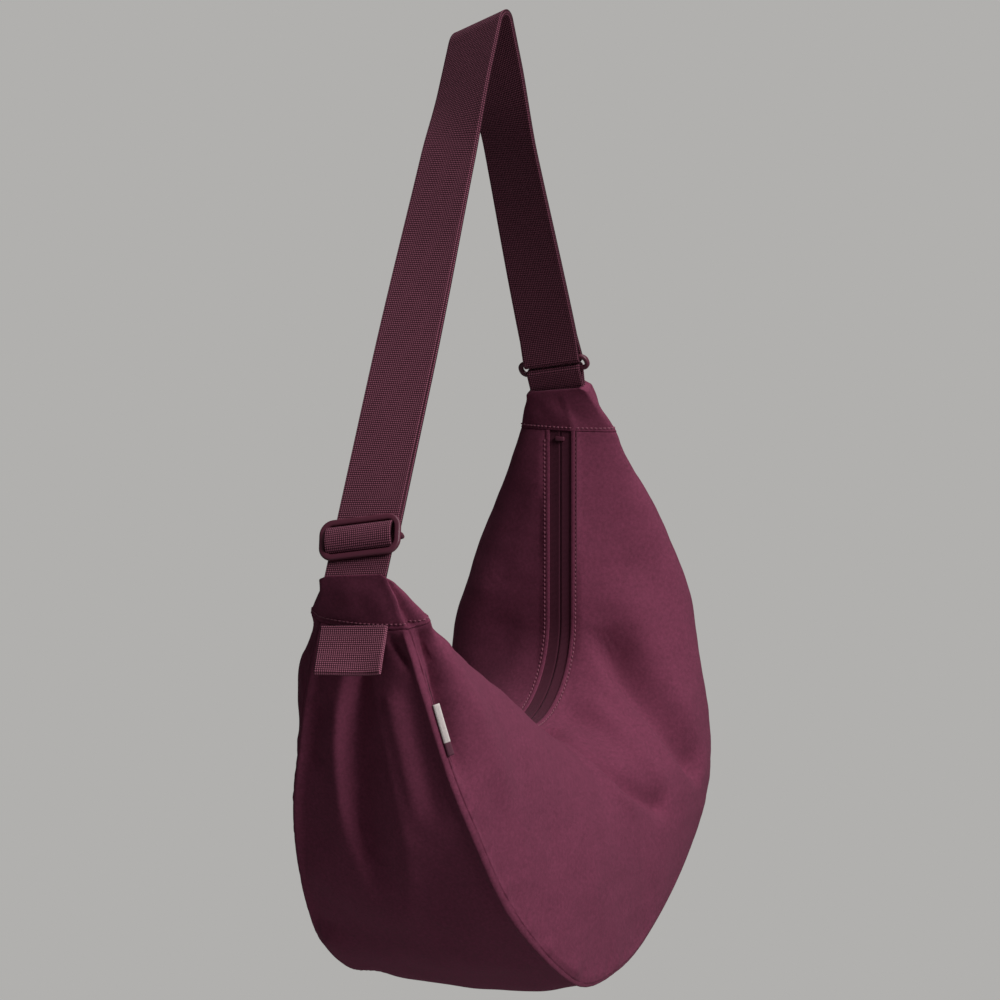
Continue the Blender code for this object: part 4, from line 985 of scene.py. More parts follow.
@dataclass
class BagBody:
    """The panels, the gusset, the seams, the lining and the inner pocket.

    A pucker is its distance from the edge and its width. A fade is the shares of the way along the body
    between which an unevenness dies away. The lining and the pocket keep each third point, as coarse says.
    """

    form: BagForm
    finishes: Finishes
    stations: int = 280
    panel_rows: int = 140
    gusset_rows: int = 150
    edge_density: float = 0.12
    thickness: float = 0.0009
    lining_gap: float = 0.0016
    lining_thickness: float = 0.0005
    cap_fade: float = 0.008
    edge_fade: float = 0.006
    gusset_fade: float = 0.010
    mouth_fade: float = 0.006
    roll_height: float = 0.0022
    roll_centre: float = 0.0032
    roll_width: float = 0.0024
    groove_depth: float = 0.0015
    groove_width: float = 0.0008
    pucker_height: float = 0.00030
    stitch_place: float = 0.0012
    stitch_depth: float = 0.0002
    stitch_width: float = 0.0009
    mouth_pucker: tuple = (0.0070, 0.0035)
    panel_pucker: tuple = (0.0060, 0.0050)
    gather_seed: int = 7
    gather_lengths: tuple = (0.0085, 0.012, 0.019, 0.031)
    gather_fade: tuple = (0.40, 0.58)
    gather_loss: float = 0.8
    roll_fade: tuple = (0.24, 0.42)
    roll_loss: float = 0.5
    roll_pucker: float = 0.3
    seam_radius: float = 0.0008
    seam_sink: float = 0.0022
    seam_lean: float = 0.5
    pocket_gap: float = 0.0052
    pocket_stations: tuple = (0.34, 0.62)
    pocket_rows: tuple = (0.30, 0.66)
    coarse: int = 3
    sheet_fill: float = 0.98
    shares: np.ndarray = field(init=False)
    panel_spots: np.ndarray = field(init=False)
    gusset_spots: np.ndarray = field(init=False)
    panels: dict = field(default_factory=dict)

    def __post_init__(self) -> None:
        """Choose the stations, and the rows, which lie closer beside the seams."""
        self.shares = np.linspace(0.002, 0.998, self.stations)
        self.panel_spots = self.rows(self.panel_rows)
        self.gusset_spots = self.rows(self.gusset_rows)

    def rows(self, count: int) -> np.ndarray:
        """Return shares down a section, closer together at both ends."""
        even = np.linspace(0.0, 1.0, count)
        return even - self.edge_density * np.sin(2.0 * math.pi * even)

    def build(self) -> None:
        """Build and dress every piece of the body."""
        for side, folds, seed in ((Side.FRONT, FRONT_FOLDS, 11), (Side.BACK, BACK_FOLDS, 23)):
            grid = self.form.panel_grid(self.shares, side, self.panel_spots)
            ripples = (Ripples(seed, height=0.0009, wavelength=0.085),
                       Ripples(5, height=0.00020, wavelength=0.024))
            moved = self.folded(grid, self.panel_spots, folds, ripples, side)
            self.panels[side] = moved
            self.build_cloth(side.word, side.word + "_panel", moved, grid_normals(moved) * side.value)
        grid = self.form.gusset_grid(self.shares, self.gusset_spots)
        ripples = (Ripples(31, height=0.0010, wavelength=0.070),
                   Ripples(6, height=0.00020, wavelength=0.024))
        moved = self.folded(grid, self.gusset_spots, GUSSET_FOLDS, ripples, None)
        self.build_cloth("gusset", "gusset_panel", moved, grid_normals(moved))
        self.build_seams()
        self.build_pocket()

    def folded(self, grid: np.ndarray, spots: np.ndarray, folds: Sequence[Fold], ripples: Sequence[Ripples],
               side: Side | None) -> np.ndarray:
        """Move a grid's points by its folds, its ripples and the relief of its seams.

        Args:
            grid: Stations by rows by three.
            spots: The share down the section of each row.
            folds: The folds of this piece.
            ripples: The ripples of this piece.
            side: The panel, or None for the gusset.

        Returns:
            The moved grid.
        """
        normals = grid_normals(grid) * (side.value if side else 1.0)
        shift = sum(ripple.shift(grid) for ripple in ripples)
        for fold in folds:
            shift = shift + fold.shift(grid, self.shares, spots, normals)
        down = row_lengths(grid)
        left = down[:, -1:] - down
        low_fade = self.edge_fade if side else self.gusset_fade
        hold = ramp(down, 0.0, self.mouth_fade if side else low_fade) * ramp(left, 0.0, low_fade)
        first, last = (self.mouth_relief, self.panel_edge) if side else (self.gusset_edge, self.gusset_edge)
        relief = first(down, self.waves(grid[:, 0])) + last(left, self.waves(grid[:, -1]))
        along = lengths(grid[:, grid.shape[1] // 2])
        ends = ramp(along, 0.0, self.cap_fade) * (1.0 - ramp(along, along[-1] - self.cap_fade, along[-1]))
        return grid - normals * ((shift * hold + relief) * ends[:, None])[:, :, None]

    def waves(self, line: np.ndarray) -> np.ndarray:
        """Return the uneven gathering along a sewn edge, one column, weaker towards the far tip."""
        rng = np.random.default_rng(self.gather_seed)
        along = lengths(line)
        wave = np.zeros(len(line))
        for length in self.gather_lengths:
            wave += np.sin(along * 2.0 * math.pi / length + rng.uniform(0.0, 6.0)) * rng.uniform(0.5, 1.0)
        quiet = 1.0 - self.gather_loss * ramp(np.linspace(0.0, 1.0, len(line)), *self.gather_fade)
        return (wave * quiet)[:, None]

    def gusset_edge(self, off: np.ndarray, wave: np.ndarray) -> np.ndarray:
        """Return the shift of the gusset beside a seam: a rolled edge, wider near the tip, and a groove."""
        size = (1.0 - self.roll_loss * ramp(self.shares, *self.roll_fade))[:, None]
        roll = self.hump(off, self.roll_centre * size, self.roll_width * size)
        groove = self.hump(off, 0.0, self.groove_width)
        height = self.roll_height + self.pucker_height * self.roll_pucker * wave
        return groove * self.groove_depth - roll * size * height

    def panel_edge(self, off: np.ndarray, wave: np.ndarray) -> np.ndarray:
        """Return the shift of a panel beside its seam: a groove and small puckers."""
        groove = self.hump(off, 0.0, self.groove_width) * self.groove_depth
        return groove + self.hump(off, *self.panel_pucker) * self.pucker_height * wave

    def mouth_relief(self, down: np.ndarray, wave: np.ndarray) -> np.ndarray:
        """Return the shift of a panel beside the mouth: the dent of its topstitching, and puckers."""
        dent = self.stitch_depth * self.hump(down, self.stitch_place, self.stitch_width)
        return dent + self.hump(down, *self.mouth_pucker) * self.pucker_height * 0.5 * wave

    @staticmethod
    def hump(off: np.ndarray, middle: np.ndarray | float, width: np.ndarray | float) -> np.ndarray:
        """Return a smooth hump of height one round a distance from the edge."""
        return np.exp(-((off - middle) / width) ** 2)

    def build_cloth(self, word: str, node: str, moved: np.ndarray, normals: np.ndarray) -> None:
        """Build one piece of cloth with its lining."""
        obj = shell(node + "_cloth", moved, moved - normals * self.thickness, grid_lengths(moved))
        self.finishes.hand_over(obj, "fine_cloth", "bag", node)
        self.declare(moved)
        outs = normals[::self.coarse, ::self.coarse]
        near = moved[::self.coarse, ::self.coarse] - outs * (self.thickness + self.lining_gap)
        lining = shell(word + "_lining_cloth", near, near - outs * self.lining_thickness, grid_lengths(near))
        self.finishes.hand_over(lining, "bag_lining", "bag", word + "_lining")
        self.declare(near)

    def declare(self, grid: np.ndarray) -> None:
        """Work out a grid's flat coordinates in metres; nothing is done with them. Declare a piece of
        cloth with its grid's flat size, widened where the cloth wouldn't fit in it.
        """
        flats = grid_lengths(grid)

    def build_seams(self) -> None:
        """Build the thin edge that stands in both seams."""
        shares = np.linspace(0.0, 1.0, 420)
        rays = upright(np.array([self.form.station(t)[1] for t in shares]))
        for side in Side:
            path = self.form.seam_line(shares, side) - self.seam_sink * unit(
                rays - ACROSS * self.seam_lean * side.value)
            rings = tube_rings(path, self.seam_radius, self.seam_radius, ACROSS, 10)
            obj = rings_object(side.word + "_seam_edge", rings)
            self.finishes.hand_over(obj, "fine_cloth", "bag", side.word + "_piping")

    def build_pocket(self) -> None:
        """Build the flat pocket on the lining of the back panel."""
        moved = self.panels[Side.BACK]
        stations = slice(*(int(share * self.stations) for share in self.pocket_stations), self.coarse)
        ends = (int(np.searchsorted(self.panel_spots, share)) for share in self.pocket_rows)
        rows = slice(*ends, self.coarse)
        ways = -grid_normals(moved)[stations, rows]
        part = moved[stations, rows] - ways * self.pocket_gap
        obj = shell("inner_pocket_cloth", part, part - ways * self.lining_thickness, grid_lengths(part))
        self.finishes.hand_over(obj, "bag_lining", "bag", "inner_pocket")
        self.declare(part)


# Mouth


@dataclass
class Mouth:
    """The zip: tapes, coil teeth, folded edges, topstitching and end stops.

    The outline of a tooth is in shares of its reach across the zip and of its wire's radius.
    """

    form: BagForm
    body: BagBody
    finishes: Finishes
    tape_inner: float = 0.0002
    tape_outer: float = 0.0112
    tape_drop: float = 0.0004
    tape_bow: float = 0.0004
    tape_thickness: float = 0.0006
    tooth_pitch: float = 0.0013
    tooth_reach: float = 0.0021
    tooth_radius: float = 0.00034
    tooth_outline: tuple = ((1.0, -0.32), (0.55, 1.44), (0.0, 1.6), (-0.16, 0.16), (0.0, -1.28))
    tooth_inset: float = 0.0002
    tooth_drop: float = 0.0018
    wire_sides: int = 5
    edge_inset: float = 0.0008
    edge_drop: float = 0.0001
    edge_height: float = 0.0004
    edge_half_width: float = 0.0014
    stop_size: tuple = (0.0028, 0.0060, 0.0024)
    stop_bevel: float = 0.0006
    stop_lift: float = 0.0002

    def build(self) -> None:
        """Build and dress every piece of the mouth."""
        points, ways, ups = self.form.mouth_frames(np.linspace(0.0, 1.0, 260))
        for side in Side:
            self.build_tape(side, points, ups)
            self.build_teeth(side)
            self.build_edge(side)
            self.build_stitches(side)
        for end, place in ((End.NEAR, 4), (End.FAR, -5)):
            self.build_stop(end, points[place], ways[place], ups[place])

    def build_tape(self, side: Side, points: np.ndarray, ups: np.ndarray) -> None:
        """Build one woven tape, with a slight bow under the folded edge."""
        across = -side.value * np.linspace(self.tape_inner, self.tape_outer, 10)
        bow = -self.tape_drop - self.tape_bow * np.sin(np.linspace(0.0, math.pi, 10))
        grid = sweep(points, ACROSS, ups, np.stack([across, bow], axis=1))
        under = grid - ups[:, None, :] * self.tape_thickness
        obj = shell(side.word + "_tape", grid, under, grid_lengths(grid))
        self.finishes.hand_over(obj, "zip_tape", "bag", side.word + "_zip_tape")

    def build_teeth(self, side: Side) -> None:
        """Build one row of coil teeth, each a small bent loop modelled once and repeated."""
        count = int(lengths(self.form.mouth)[-1] / self.tooth_pitch)
        shift = 0.25 if side is Side.FRONT else 0.75
        fine = np.linspace(0.0, 1.0, 600)
        frames = self.form.mouth_frames(fine)
        outline = np.array(self.tooth_outline) * (self.tooth_reach, self.tooth_radius)
        outline = (outline + (self.tooth_inset, -self.tooth_drop)) * (-side.value, 1.0)
        verts, faces = [], []
        for share in (np.arange(4, count - 4) + shift) / count:
            point, along, up = (points_at(share, fine, line) for line in frames)
            path = point + outline[:, :1] * ACROSS + outline[:, 1:] * up
            faces += ring_faces(len(path), self.wire_sides, len(verts))
            rings = tube_rings(path, self.tooth_radius, self.tooth_radius, along, self.wire_sides)
            verts.extend(rings.reshape(-1, 3))
        obj = turn_outwards(link_mesh(side.word + "_coil_teeth", np.array(verts), faces, None))
        self.finishes.hand_over(obj, "coil_plastic", "bag", side.word + "_zip_coil")

    def build_edge(self, side: Side) -> None:
        """Build the folded edge of a panel beside the tape."""
        _, _, ups = self.form.mouth_frames(self.body.shares)
        path = self.body.panels[side][:, 0] - ups * self.edge_drop + ACROSS * (self.edge_inset * side.value)
        rings = tube_rings(path, self.edge_height, self.edge_half_width, ACROSS, 12)
        obj = rings_object(side.word + "_folded_edge", rings)
        self.finishes.hand_over(obj, "fine_cloth", "bag", side.word + "_zip_welt")

    def build_stitches(self, side: Side) -> None:
        """Sew the topstitching along the mouth edge of a panel."""
        grid = self.body.panels[side]
        normals = grid_normals(grid) * side.value
        down = row_lengths(grid)
        line, ways = (np.array([points_at(self.body.stitch_place, down[row], values[row])
                                for row in range(2, len(grid) - 2)]) for values in (grid, normals))
        obj = Stitching().sew(side.word + "_mouth_stitches", line, ways)
        self.finishes.hand_over(obj, "sewing_thread", "bag", slot=side.word + "_zip_welt")

    def build_stop(self, end: End, point: np.ndarray, way: np.ndarray, up: np.ndarray) -> None:
        """Build one end stop as a bevelled bar across the coil."""
        obj = Bench.bar(end.value + "_end_stop", self.stop_size, self.stop_bevel)
        Bench.settle(obj, point + up * self.stop_lift, (way, ACROSS, up))
        self.finishes.hand_over(obj, "coil_plastic", "bag", end.value + "_zip_stop")


class Bench:
    """Modelling by hand: primitives shaped in edit mode."""

    @staticmethod
    def clear() -> None:
        """Leave edit mode and deselect everything."""
        if bpy.context.object is not None and bpy.context.object.mode != "OBJECT":
            bpy.ops.object.mode_set(mode="OBJECT")
        bpy.ops.object.select_all(action="DESELECT")

    @staticmethod
    def box(name: str, size: Sequence[float], centre: Sequence[float] = (0.0, 0.0, 0.0)) -> bpy.types.Object:
        """Add a box with its scale applied, and place its mesh round a centre."""
        Bench.clear()
        bpy.ops.mesh.primitive_cube_add(size=1.0, location=(0.0, 0.0, 0.0))
        obj = bpy.context.object
        obj.name = name
        obj.data.name = name
        obj.scale = size
        bpy.ops.object.transform_apply(location=False, rotation=False, scale=True)
        obj.data.transform(Matrix.Translation(centre))
        return obj

    @staticmethod
    def work_on(obj: bpy.types.Object) -> None:
        """Make an object the only selected and the active one."""
        Bench.clear()
        obj.select_set(True)
        bpy.context.view_layer.objects.active = obj

    @staticmethod
    def pick(obj: bpy.types.Object, kind: str, test: Callable[[object], bool]) -> None:
        """Select the parts of a mesh in edit mode that a test accepts.

        Args:
            obj: The object in edit mode.
            kind: VERT, EDGE or FACE.
            test: Says whether one part is taken.
        """
        bpy.ops.mesh.select_mode(type=kind)
        bpy.ops.mesh.select_all(action="DESELECT")
        bm = bmesh.from_edit_mesh(obj.data)
        parts = {"VERT": bm.verts, "EDGE": bm.edges, "FACE": bm.faces}[kind]
        for part in parts:
            if test(part):
                part.select_set(True)
        bm.select_flush_mode()
        bmesh.update_edit_mesh(obj.data)

    @staticmethod
    def finish(obj: bpy.types.Object, *modifiers: tuple) -> bpy.types.Object:
        """Add modifiers, apply them and smooth by angle.

        Args:
            obj: The object.
            modifiers: Pairs of a modifier's type and its settings.

        Returns:
            The object.
        """
        Bench.work_on(obj)
        for kind, settings in modifiers:
            change = obj.modifiers.new(kind.lower(), kind)
            for key, value in settings.items():
                setattr(change, key, value)
            bpy.ops.object.modifier_apply(modifier=change.name)
        bpy.ops.object.shade_smooth_by_angle(angle=math.radians(40.0))
        return obj

    @staticmethod
    def bar(name: str, size: Sequence[float], bevel: float) -> bpy.types.Object:
        """Make a bar with rounded edges."""
        obj = Bench.box(name, size)
        return Bench.finish(obj, ("BEVEL", {"width": bevel, "segments": 3}))

    @staticmethod
    def settle(obj: bpy.types.Object, centre: np.ndarray, axes: Sequence[np.ndarray]) -> None:
        """Put a piece modelled at the origin where it belongs, in its own mesh."""
        turn = Matrix([[float(axis[k]) for axis in axes] for k in range(3)]).to_4x4()
        obj.data.transform(Matrix.Translation(Vector([float(c) for c in centre])) @ turn)
        if turn.determinant() < 0.0:
            obj.data.flip_normals()
        obj.data.update()

    @staticmethod
    def merge(obj: bpy.types.Object, other: bpy.types.Object, operation: str) -> None:
        """Apply a Boolean with another object and remove that object."""
        Bench.work_on(obj)
        change = obj.modifiers.new("merge", "BOOLEAN")
        change.operation = operation
        change.solver = "EXACT"
        change.object = other
        bpy.ops.object.modifier_apply(modifier=change.name)
        bpy.data.objects.remove(other, do_unlink=True)


@dataclass
class Slider:
    """The zip slider and its pull tab, each modelled along x, across y and upwards."""

    form: BagForm
    finishes: Finishes
    home: float = 0.020
    length: float = 0.0100
    width: float = 0.0080
    plate: float = 0.0013
    channel: float = 0.0016
    front_taper: float = 0.72
    rear_taper: float = 0.80
    neck_length: float = 0.0020
    neck_width: float = 0.0006
    bail_size: tuple = (0.0046, 0.0018, 0.0038)
    bail_drop: float = 0.0003
    tunnel_size: tuple = (0.0026, 0.0040, 0.0022)
    body_bevel: float = 0.00028
    hinge_height: float = 0.0048
    pull_length: float = 0.028
    pull_width: float = 0.0062
    pull_thickness: float = 0.0014
    pull_overlap: float = 0.0007
    pull_rim: float = 0.0012
    pull_hollow: float = 0.00035
    pull_bevel: float = 0.0003
    hole_size: tuple = (0.0030, 0.0032, 0.0060)
    hole_place: float = 0.0023

    def build(self) -> None:
        """Build the slider's body and its pull."""
        start = self.form.hung(self.form.mouth_start)
        along = upright(unit(self.form.near_end - start))
        up = np.cross(along, ACROSS)
        home = upright(start) + along * self.home
        axes = (along, ACROSS, up)
        self.build_body(home, axes)
        self.build_pull(home + up * self.hinge_height, axes)

    def wing(self, name: str, height: float) -> bpy.types.Object:
        """Model one wing plate, narrowed towards both its ends."""
        obj = Bench.box(name, (self.length, self.width, self.plate))
        bpy.ops.object.mode_set(mode="EDIT")
        bpy.ops.mesh.select_all(action="SELECT")
        bpy.ops.mesh.subdivide(number_cuts=3)
        for test, taper in ((lambda v: v.co.x > self.length * 0.3, self.front_taper),
                            (lambda v: v.co.x < -self.length * 0.4, self.rear_taper)):
            Bench.pick(obj, "VERT", test)
            bpy.ops.transform.resize(value=(1.0, taper, 1.0))
        bpy.ops.object.mode_set(mode="OBJECT")
        obj.data.transform(Matrix.Translation((0.0, 0.0, height)))
        return obj

    def build_body(self, home: np.ndarray, axes: Sequence[np.ndarray]) -> None:
        """Model the two wings, the neck between them and the bail on top."""
        lift = self.channel + self.plate * 0.5
        obj = self.wing("slider_body", lift)
        Bench.merge(obj, self.wing("lower_wing", -lift), "UNION")
        neck_size = (self.neck_length, self.neck_width, self.channel * 2.0 + self.plate)
        Bench.merge(obj, Bench.box("neck", neck_size, (-self.length * 0.28, 0.0, 0.0)), "UNION")
        bail = Bench.box("bail", self.bail_size, (0.0, 0.0, self.hinge_height - self.bail_drop))
        Bench.merge(bail, Bench.box("tunnel", self.tunnel_size, (0.0, 0.0, self.hinge_height)), "DIFFERENCE")
        Bench.merge(obj, bail, "UNION")
        Bench.finish(obj, ("BEVEL", {"width": self.body_bevel, "segments": 2, "limit_method": "ANGLE"}))
        Bench.settle(obj, home, axes)
        self.finishes.hand_over(obj, "painted_slider", "zip_slider", "zip_slider")

    def build_pull(self, hinge: np.ndarray, axes: Sequence[np.ndarray]) -> None:
        """Model the pull tab with the hole for its bail and a pressed hollow."""
        obj = Bench.box("pull_tab", (self.pull_length, self.pull_width, self.pull_thickness))
        bpy.ops.object.mode_set(mode="EDIT")
        Bench.pick(obj, "FACE", lambda f: f.normal.z > 0.9)
        bpy.ops.mesh.inset(thickness=self.pull_rim)
        bpy.ops.transform.translate(value=(0.0, 0.0, -self.pull_hollow))
        bpy.ops.object.mode_set(mode="OBJECT")
        obj.data.transform(Matrix.Translation((self.pull_length * 0.5 - self.pull_overlap, 0.0, 0.0)))
        Bench.merge(obj, Bench.box("hole", self.hole_size, (self.hole_place, 0.0, 0.0)), "DIFFERENCE")
        Bench.finish(obj, ("BEVEL", {"width": self.pull_bevel, "segments": 2, "limit_method": "ANGLE"}))
        Bench.settle(obj, hinge, axes)
        self.finishes.hand_over(obj, "painted_slider", "zip_pull", "zip_pull")


# End caps, strap and fittings


def outward(leg: np.ndarray) -> np.ndarray:
    """Return the direction in x and z that stands square on a leg and points away from the bag's middle."""
    out = np.array([leg[1], -leg[0]])
    return out if out[0] * leg[0] > 0.0 else -out


@dataclass
class EndCap:
    """The tapered sleeve round one tip, with its topstitched hem; its tilt lifts the front of its top edge.

    All its outlines have the same matched parts: front, gusset, back and mouth. Dents are the columns of
    points beside the front seam where the sleeve's cloth is pinched or stands out, each with its rise.
    """

    end: End
    form: BagForm
    finishes: Finishes
    tilt_deg: float
    seam_share: float
    hem_share: float
    seed: int
    dent_share: float
    top_width: float = 0.0430
    top_depth: float = 0.0092
    inner_wall: float = 0.0002
    wall: float = 0.0013
    inner_hem: float = 0.0001
    hem_wall: float = 0.0004
    corner: float = 0.0040
    corner_reach: float = 1.6
    rings: int = 34
    panel_points: int = 26
    gusset_points: int = 25
    mouth_points: int = 9
    ripple_height: float = 0.0007
    ripple_length: float = 0.022
    dents: tuple = ((22, -0.0012), (23, -0.0030), (24, -0.0034), (25, -0.0006), (26, 0.0009), (27, 0.0005))
    dent_start: tuple = (0.02, 0.15)
    dent_end: tuple = (0.96, 1.0)
    stitch_ring: int = -4

    def join(self, front: np.ndarray, side: np.ndarray, back: np.ndarray) -> np.ndarray:
        """Close an outline from its front, gusset and back parts with a straight mouth part."""
        mouth = np.linspace(back[-1], front[0], self.mouth_points)[1:-1]
        return np.vstack([front, side[1:-1], back, mouth])

    def section_loop(self, t: float, grow: float) -> np.ndarray:
        """Return the outline of the body's section at share t, grown outwards."""
        front, back = (self.form.panel_curve(t, side, self.panel_points) for side in Side)
        loop = self.join(front, self.form.gusset_curve(t, self.gusset_points), back[::-1])
        way = unit(np.roll(loop, -1, axis=0) - np.roll(loop, 1, axis=0))
        return loop + np.stack([way[:, 1], -way[:, 0]], axis=1) * grow

    def flat_loop(self, grow: float) -> np.ndarray:
        """Return the flat outline round the webbing."""
        width, depth = self.top_width * 0.5 + grow, self.top_depth * 0.5 + grow
        places = (0.0, 0.62, 0.78, 1.0)
        even = np.linspace(0.0, 1.0, self.panel_points)
        depths = np.interp(even, places, (-depth, -depth, -depth * 0.5, depth))
        widths = np.interp(even, places, (-self.form.opening_half * 0.5, -width * 0.96, -width, -width))
        front = np.stack([depths, widths], axis=1)
        side = np.linspace((depth, -width), (depth, width), self.gusset_points)
        return self.join(front, side, front[::-1] * (1.0, -1.0))

    def wall_rings(self, grow: float, hem_grow: float) -> np.ndarray:
        """Return one face of the sleeve as rings, from the webbing down to the hem and round it."""
        top = self.form.hung(self.form.near_top if self.end is End.NEAR else self.form.far_top)
        leg = unit(top)
        low, hem = (self.form.place(t, self.section_loop(t, hem_grow))
                    for t in (self.seam_share, self.hem_share))
        flat = self.flat_loop(grow - self.wall)
        lift = -flat[:, 1:] * math.tan(math.radians(self.tilt_deg))
        places = upright(top + outward(leg) * flat[:, :1] - leg * lift)
        rows = []
        for share in np.linspace(0.0, 1.0, self.rings):
            pinch = self.corner * np.exp(-(share * self.rings / self.corner_reach) ** 2) / self.top_width
            wide = flat[:, 1:] * (1.0 - 2.0 * pinch * np.abs(flat[:, 1:] * 2.0 / self.top_width) ** 6)
            rows.append((places + ACROSS * wide) * (1.0 - share) + low * share)
        return np.array(rows + [low * 0.5 + hem * 0.5, hem])

    def swell(self, wall: np.ndarray) -> np.ndarray:
        """Return how far each point of the sleeve stands out: slight ripples and its dents."""
        count = len(wall)
        ripple = Ripples(self.seed, self.ripple_height, self.ripple_length).shift(wall)
        out = ripple * np.sin(np.linspace(0.0, math.pi, count))[:, None]
        places = np.linspace(0.0, 1.0, count)
        depth = ramp(places, *self.dent_start) * (1.0 - ramp(places, *self.dent_end))
        for column, rise in self.dents:
            out[:, column] += depth * rise * self.dent_share
        return out

    def build(self) -> None:
        """Build the sleeve and sew its hem."""
        inner = self.wall_rings(self.inner_wall, self.inner_hem)
        outer = self.wall_rings(self.wall, self.hem_wall)
        away = unit(outer - outer.mean(axis=1, keepdims=True))
        shift = away * self.swell(outer)[:, :, None]
        outer = outer + shift
        rings = np.concatenate([outer, (inner + shift)[::-1]])
        obj = rings_object(self.end.value + "_cap_sleeve", rings, closed=True)
        self.finishes.hand_over(obj, "fine_cloth", "bag", self.end.value + "_end_cap")
        line, ways = (resample(np.vstack([rows[self.stitch_ring], rows[self.stitch_ring][:1]]), 400)
                      for rows in (outer, away))
        thread = Stitching().sew(self.end.value + "_hem_stitches", line, ways)
        self.finishes.hand_over(thread, "sewing_thread", "bag", slot=self.end.value + "_end_cap")


@dataclass
class Strap:
    """The one webbing of the strap: near cap, crest, far ring and back over the crest to the adjuster."""

    form: BagForm
    finishes: Finishes
    width: float = 0.040
    thickness: float = 0.0015
    pitch: float = 0.0018
    crest_radius: float = 0.007
    slant_deg: float = 21.0
    slant_blend: tuple = (0.030, 0.078)
    twist_deg: float = 13.0
    twist_blend: tuple = (0.050, 0.205)
    near_skew_deg: float = 6.0
    far_skew_deg: float = 11.0
    skew_blend: tuple = (0.022, 0.090)
    near_rise: float = 0.0240
    ring_rise: float = 0.0148
    ring_spread: float = 0.0038
    ring_radius: float = 0.0015
    clearance: float = 0.0004
    above_ring: float = 0.0346
    sewn_depth: float = 0.0006
    sway: float = 0.0014
    ring_turn_deg: tuple = (80.0, 280.0)
    tab_width: float = 0.038
    tab_sewn_depth: float = 0.0030
    tab_turn_deg: tuple = (100.0, -100.0)
    angles: dict = field(default_factory=dict)
    legs: dict = field(default_factory=dict)
    lengths: dict = field(default_factory=dict)
    tops: dict = field(default_factory=dict)

    def __post_init__(self) -> None:
        """Work out where each leg leaves the crest."""
        centre = np.array([0.0, -self.crest_radius])
        inner = self.crest_radius + self.thickness * 0.5
        for end, top, radius in ((End.NEAR, self.form.near_top, inner + self.pitch),
                                 (End.FAR, self.form.far_top, inner)):
            spot = self.form.hung(top)
            way = spot - centre
            reach = float(np.linalg.norm(way))
            swing = math.acos(radius / reach) * (1.0 if spot[0] > 0.0 else -1.0)
            angle = (math.atan2(way[1], way[0]) + swing) % (2.0 * math.pi)
            leg = spot - centre - radius * circle(angle)
            self.tops[end] = spot
            self.angles[end] = angle
            self.lengths[end] = float(np.linalg.norm(leg))
            self.legs[end] = leg / self.lengths[end]

    def ring_centre(self) -> np.ndarray:
        """Return the middle of the far ring in x and z."""
        return (self.tops[End.FAR] - self.legs[End.FAR] * self.ring_rise
                + outward(self.legs[End.FAR]) * self.pitch * 0.5)

    def turn(self, bar: np.ndarray, start_deg: float, end_deg: float) -> np.ndarray:
        """Return flat points of webbing round a bar of the ring, from the outer side to the inner one."""
        reach = self.ring_radius + self.clearance + self.thickness * 0.5
        leg = self.legs[End.FAR]
        return bar + reach * circle(np.radians(np.linspace(start_deg, end_deg, 40))) @ np.array(
            [-leg, outward(leg)])

    def over_crest(self, radius: float, near_length: float, far_length: float) -> np.ndarray:
        """Return a layer's middle line over the crest, from the near leg to the far leg."""
        centre = np.array([0.0, -self.crest_radius])
        arc = centre + radius * circle(np.linspace(self.angles[End.NEAR], self.angles[End.FAR], 30))
        gap = 0.001
        rising = arc[0] + self.legs[End.NEAR] * np.linspace(near_length, gap, 170)[:, None]
        falling = arc[-1] + self.legs[End.FAR] * np.linspace(gap, far_length, 110)[:, None]
        return np.vstack([rising, arc, falling])

    def settle(self, obj: bpy.types.Object) -> None:
        """Twist and slant the crest, and skew the lower ends of both legs, in the piece's own mesh."""
        spots = read_spots(obj)
        below = -spots[:, 2]
        turn = math.radians(self.twist_deg) * (1.0 - ramp(below, *self.twist_blend))
        lift = math.tan(math.radians(self.slant_deg)) * (1.0 - ramp(below, *self.slant_blend))
        spots[:, 0] += spots[:, 1] * np.sin(turn)
        spots[:, 2] -= spots[:, 1] * lift
        spots[:, 1] *= np.cos(turn)
        for end, tilt in ((End.NEAR, self.near_skew_deg), (End.FAR, self.far_skew_deg)):
            top, leg = self.tops[end], self.legs[end]
            away = (top[0] - spots[:, 0]) * leg[0] + (top[1] - spots[:, 2]) * leg[1]
            lift = -spots[:, 1] * math.tan(math.radians(tilt)) * (1.0 - ramp(away, *self.skew_blend))
            lift *= spots[:, 0] * top[0] > 0.0
            spots[:, 0] -= leg[0] * lift
            spots[:, 2] -= leg[1] * lift
        write_spots(obj, spots)

    def build(self) -> None:
        """Build the strap, and the tab that ties the ring to the far cap."""
        inner = self.crest_radius + self.thickness * 0.5
        short = self.lengths[End.FAR] - self.above_ring
        outer = self.over_crest(inner + self.pitch, self.lengths[End.NEAR] + self.sewn_depth, short)
        lower = self.over_crest(inner, self.lengths[End.NEAR] - self.near_rise, short)[::-1]
        bar = self.ring_centre() - self.legs[End.FAR] * self.ring_spread
        path = upright(np.vstack([outer, self.turn(bar, *self.ring_turn_deg), lower]))
        path[-len(lower):, 1] -= self.sway * np.linspace(0.0, 1.0, len(lower)) ** 2
        obj = band("strap_length", path, self.width, self.thickness, ACROSS, 30)
        self.settle(obj)
        self.finishes.hand_over(obj, "strap_webbing", "bag", "strap_webbing")
        self.build_tab()

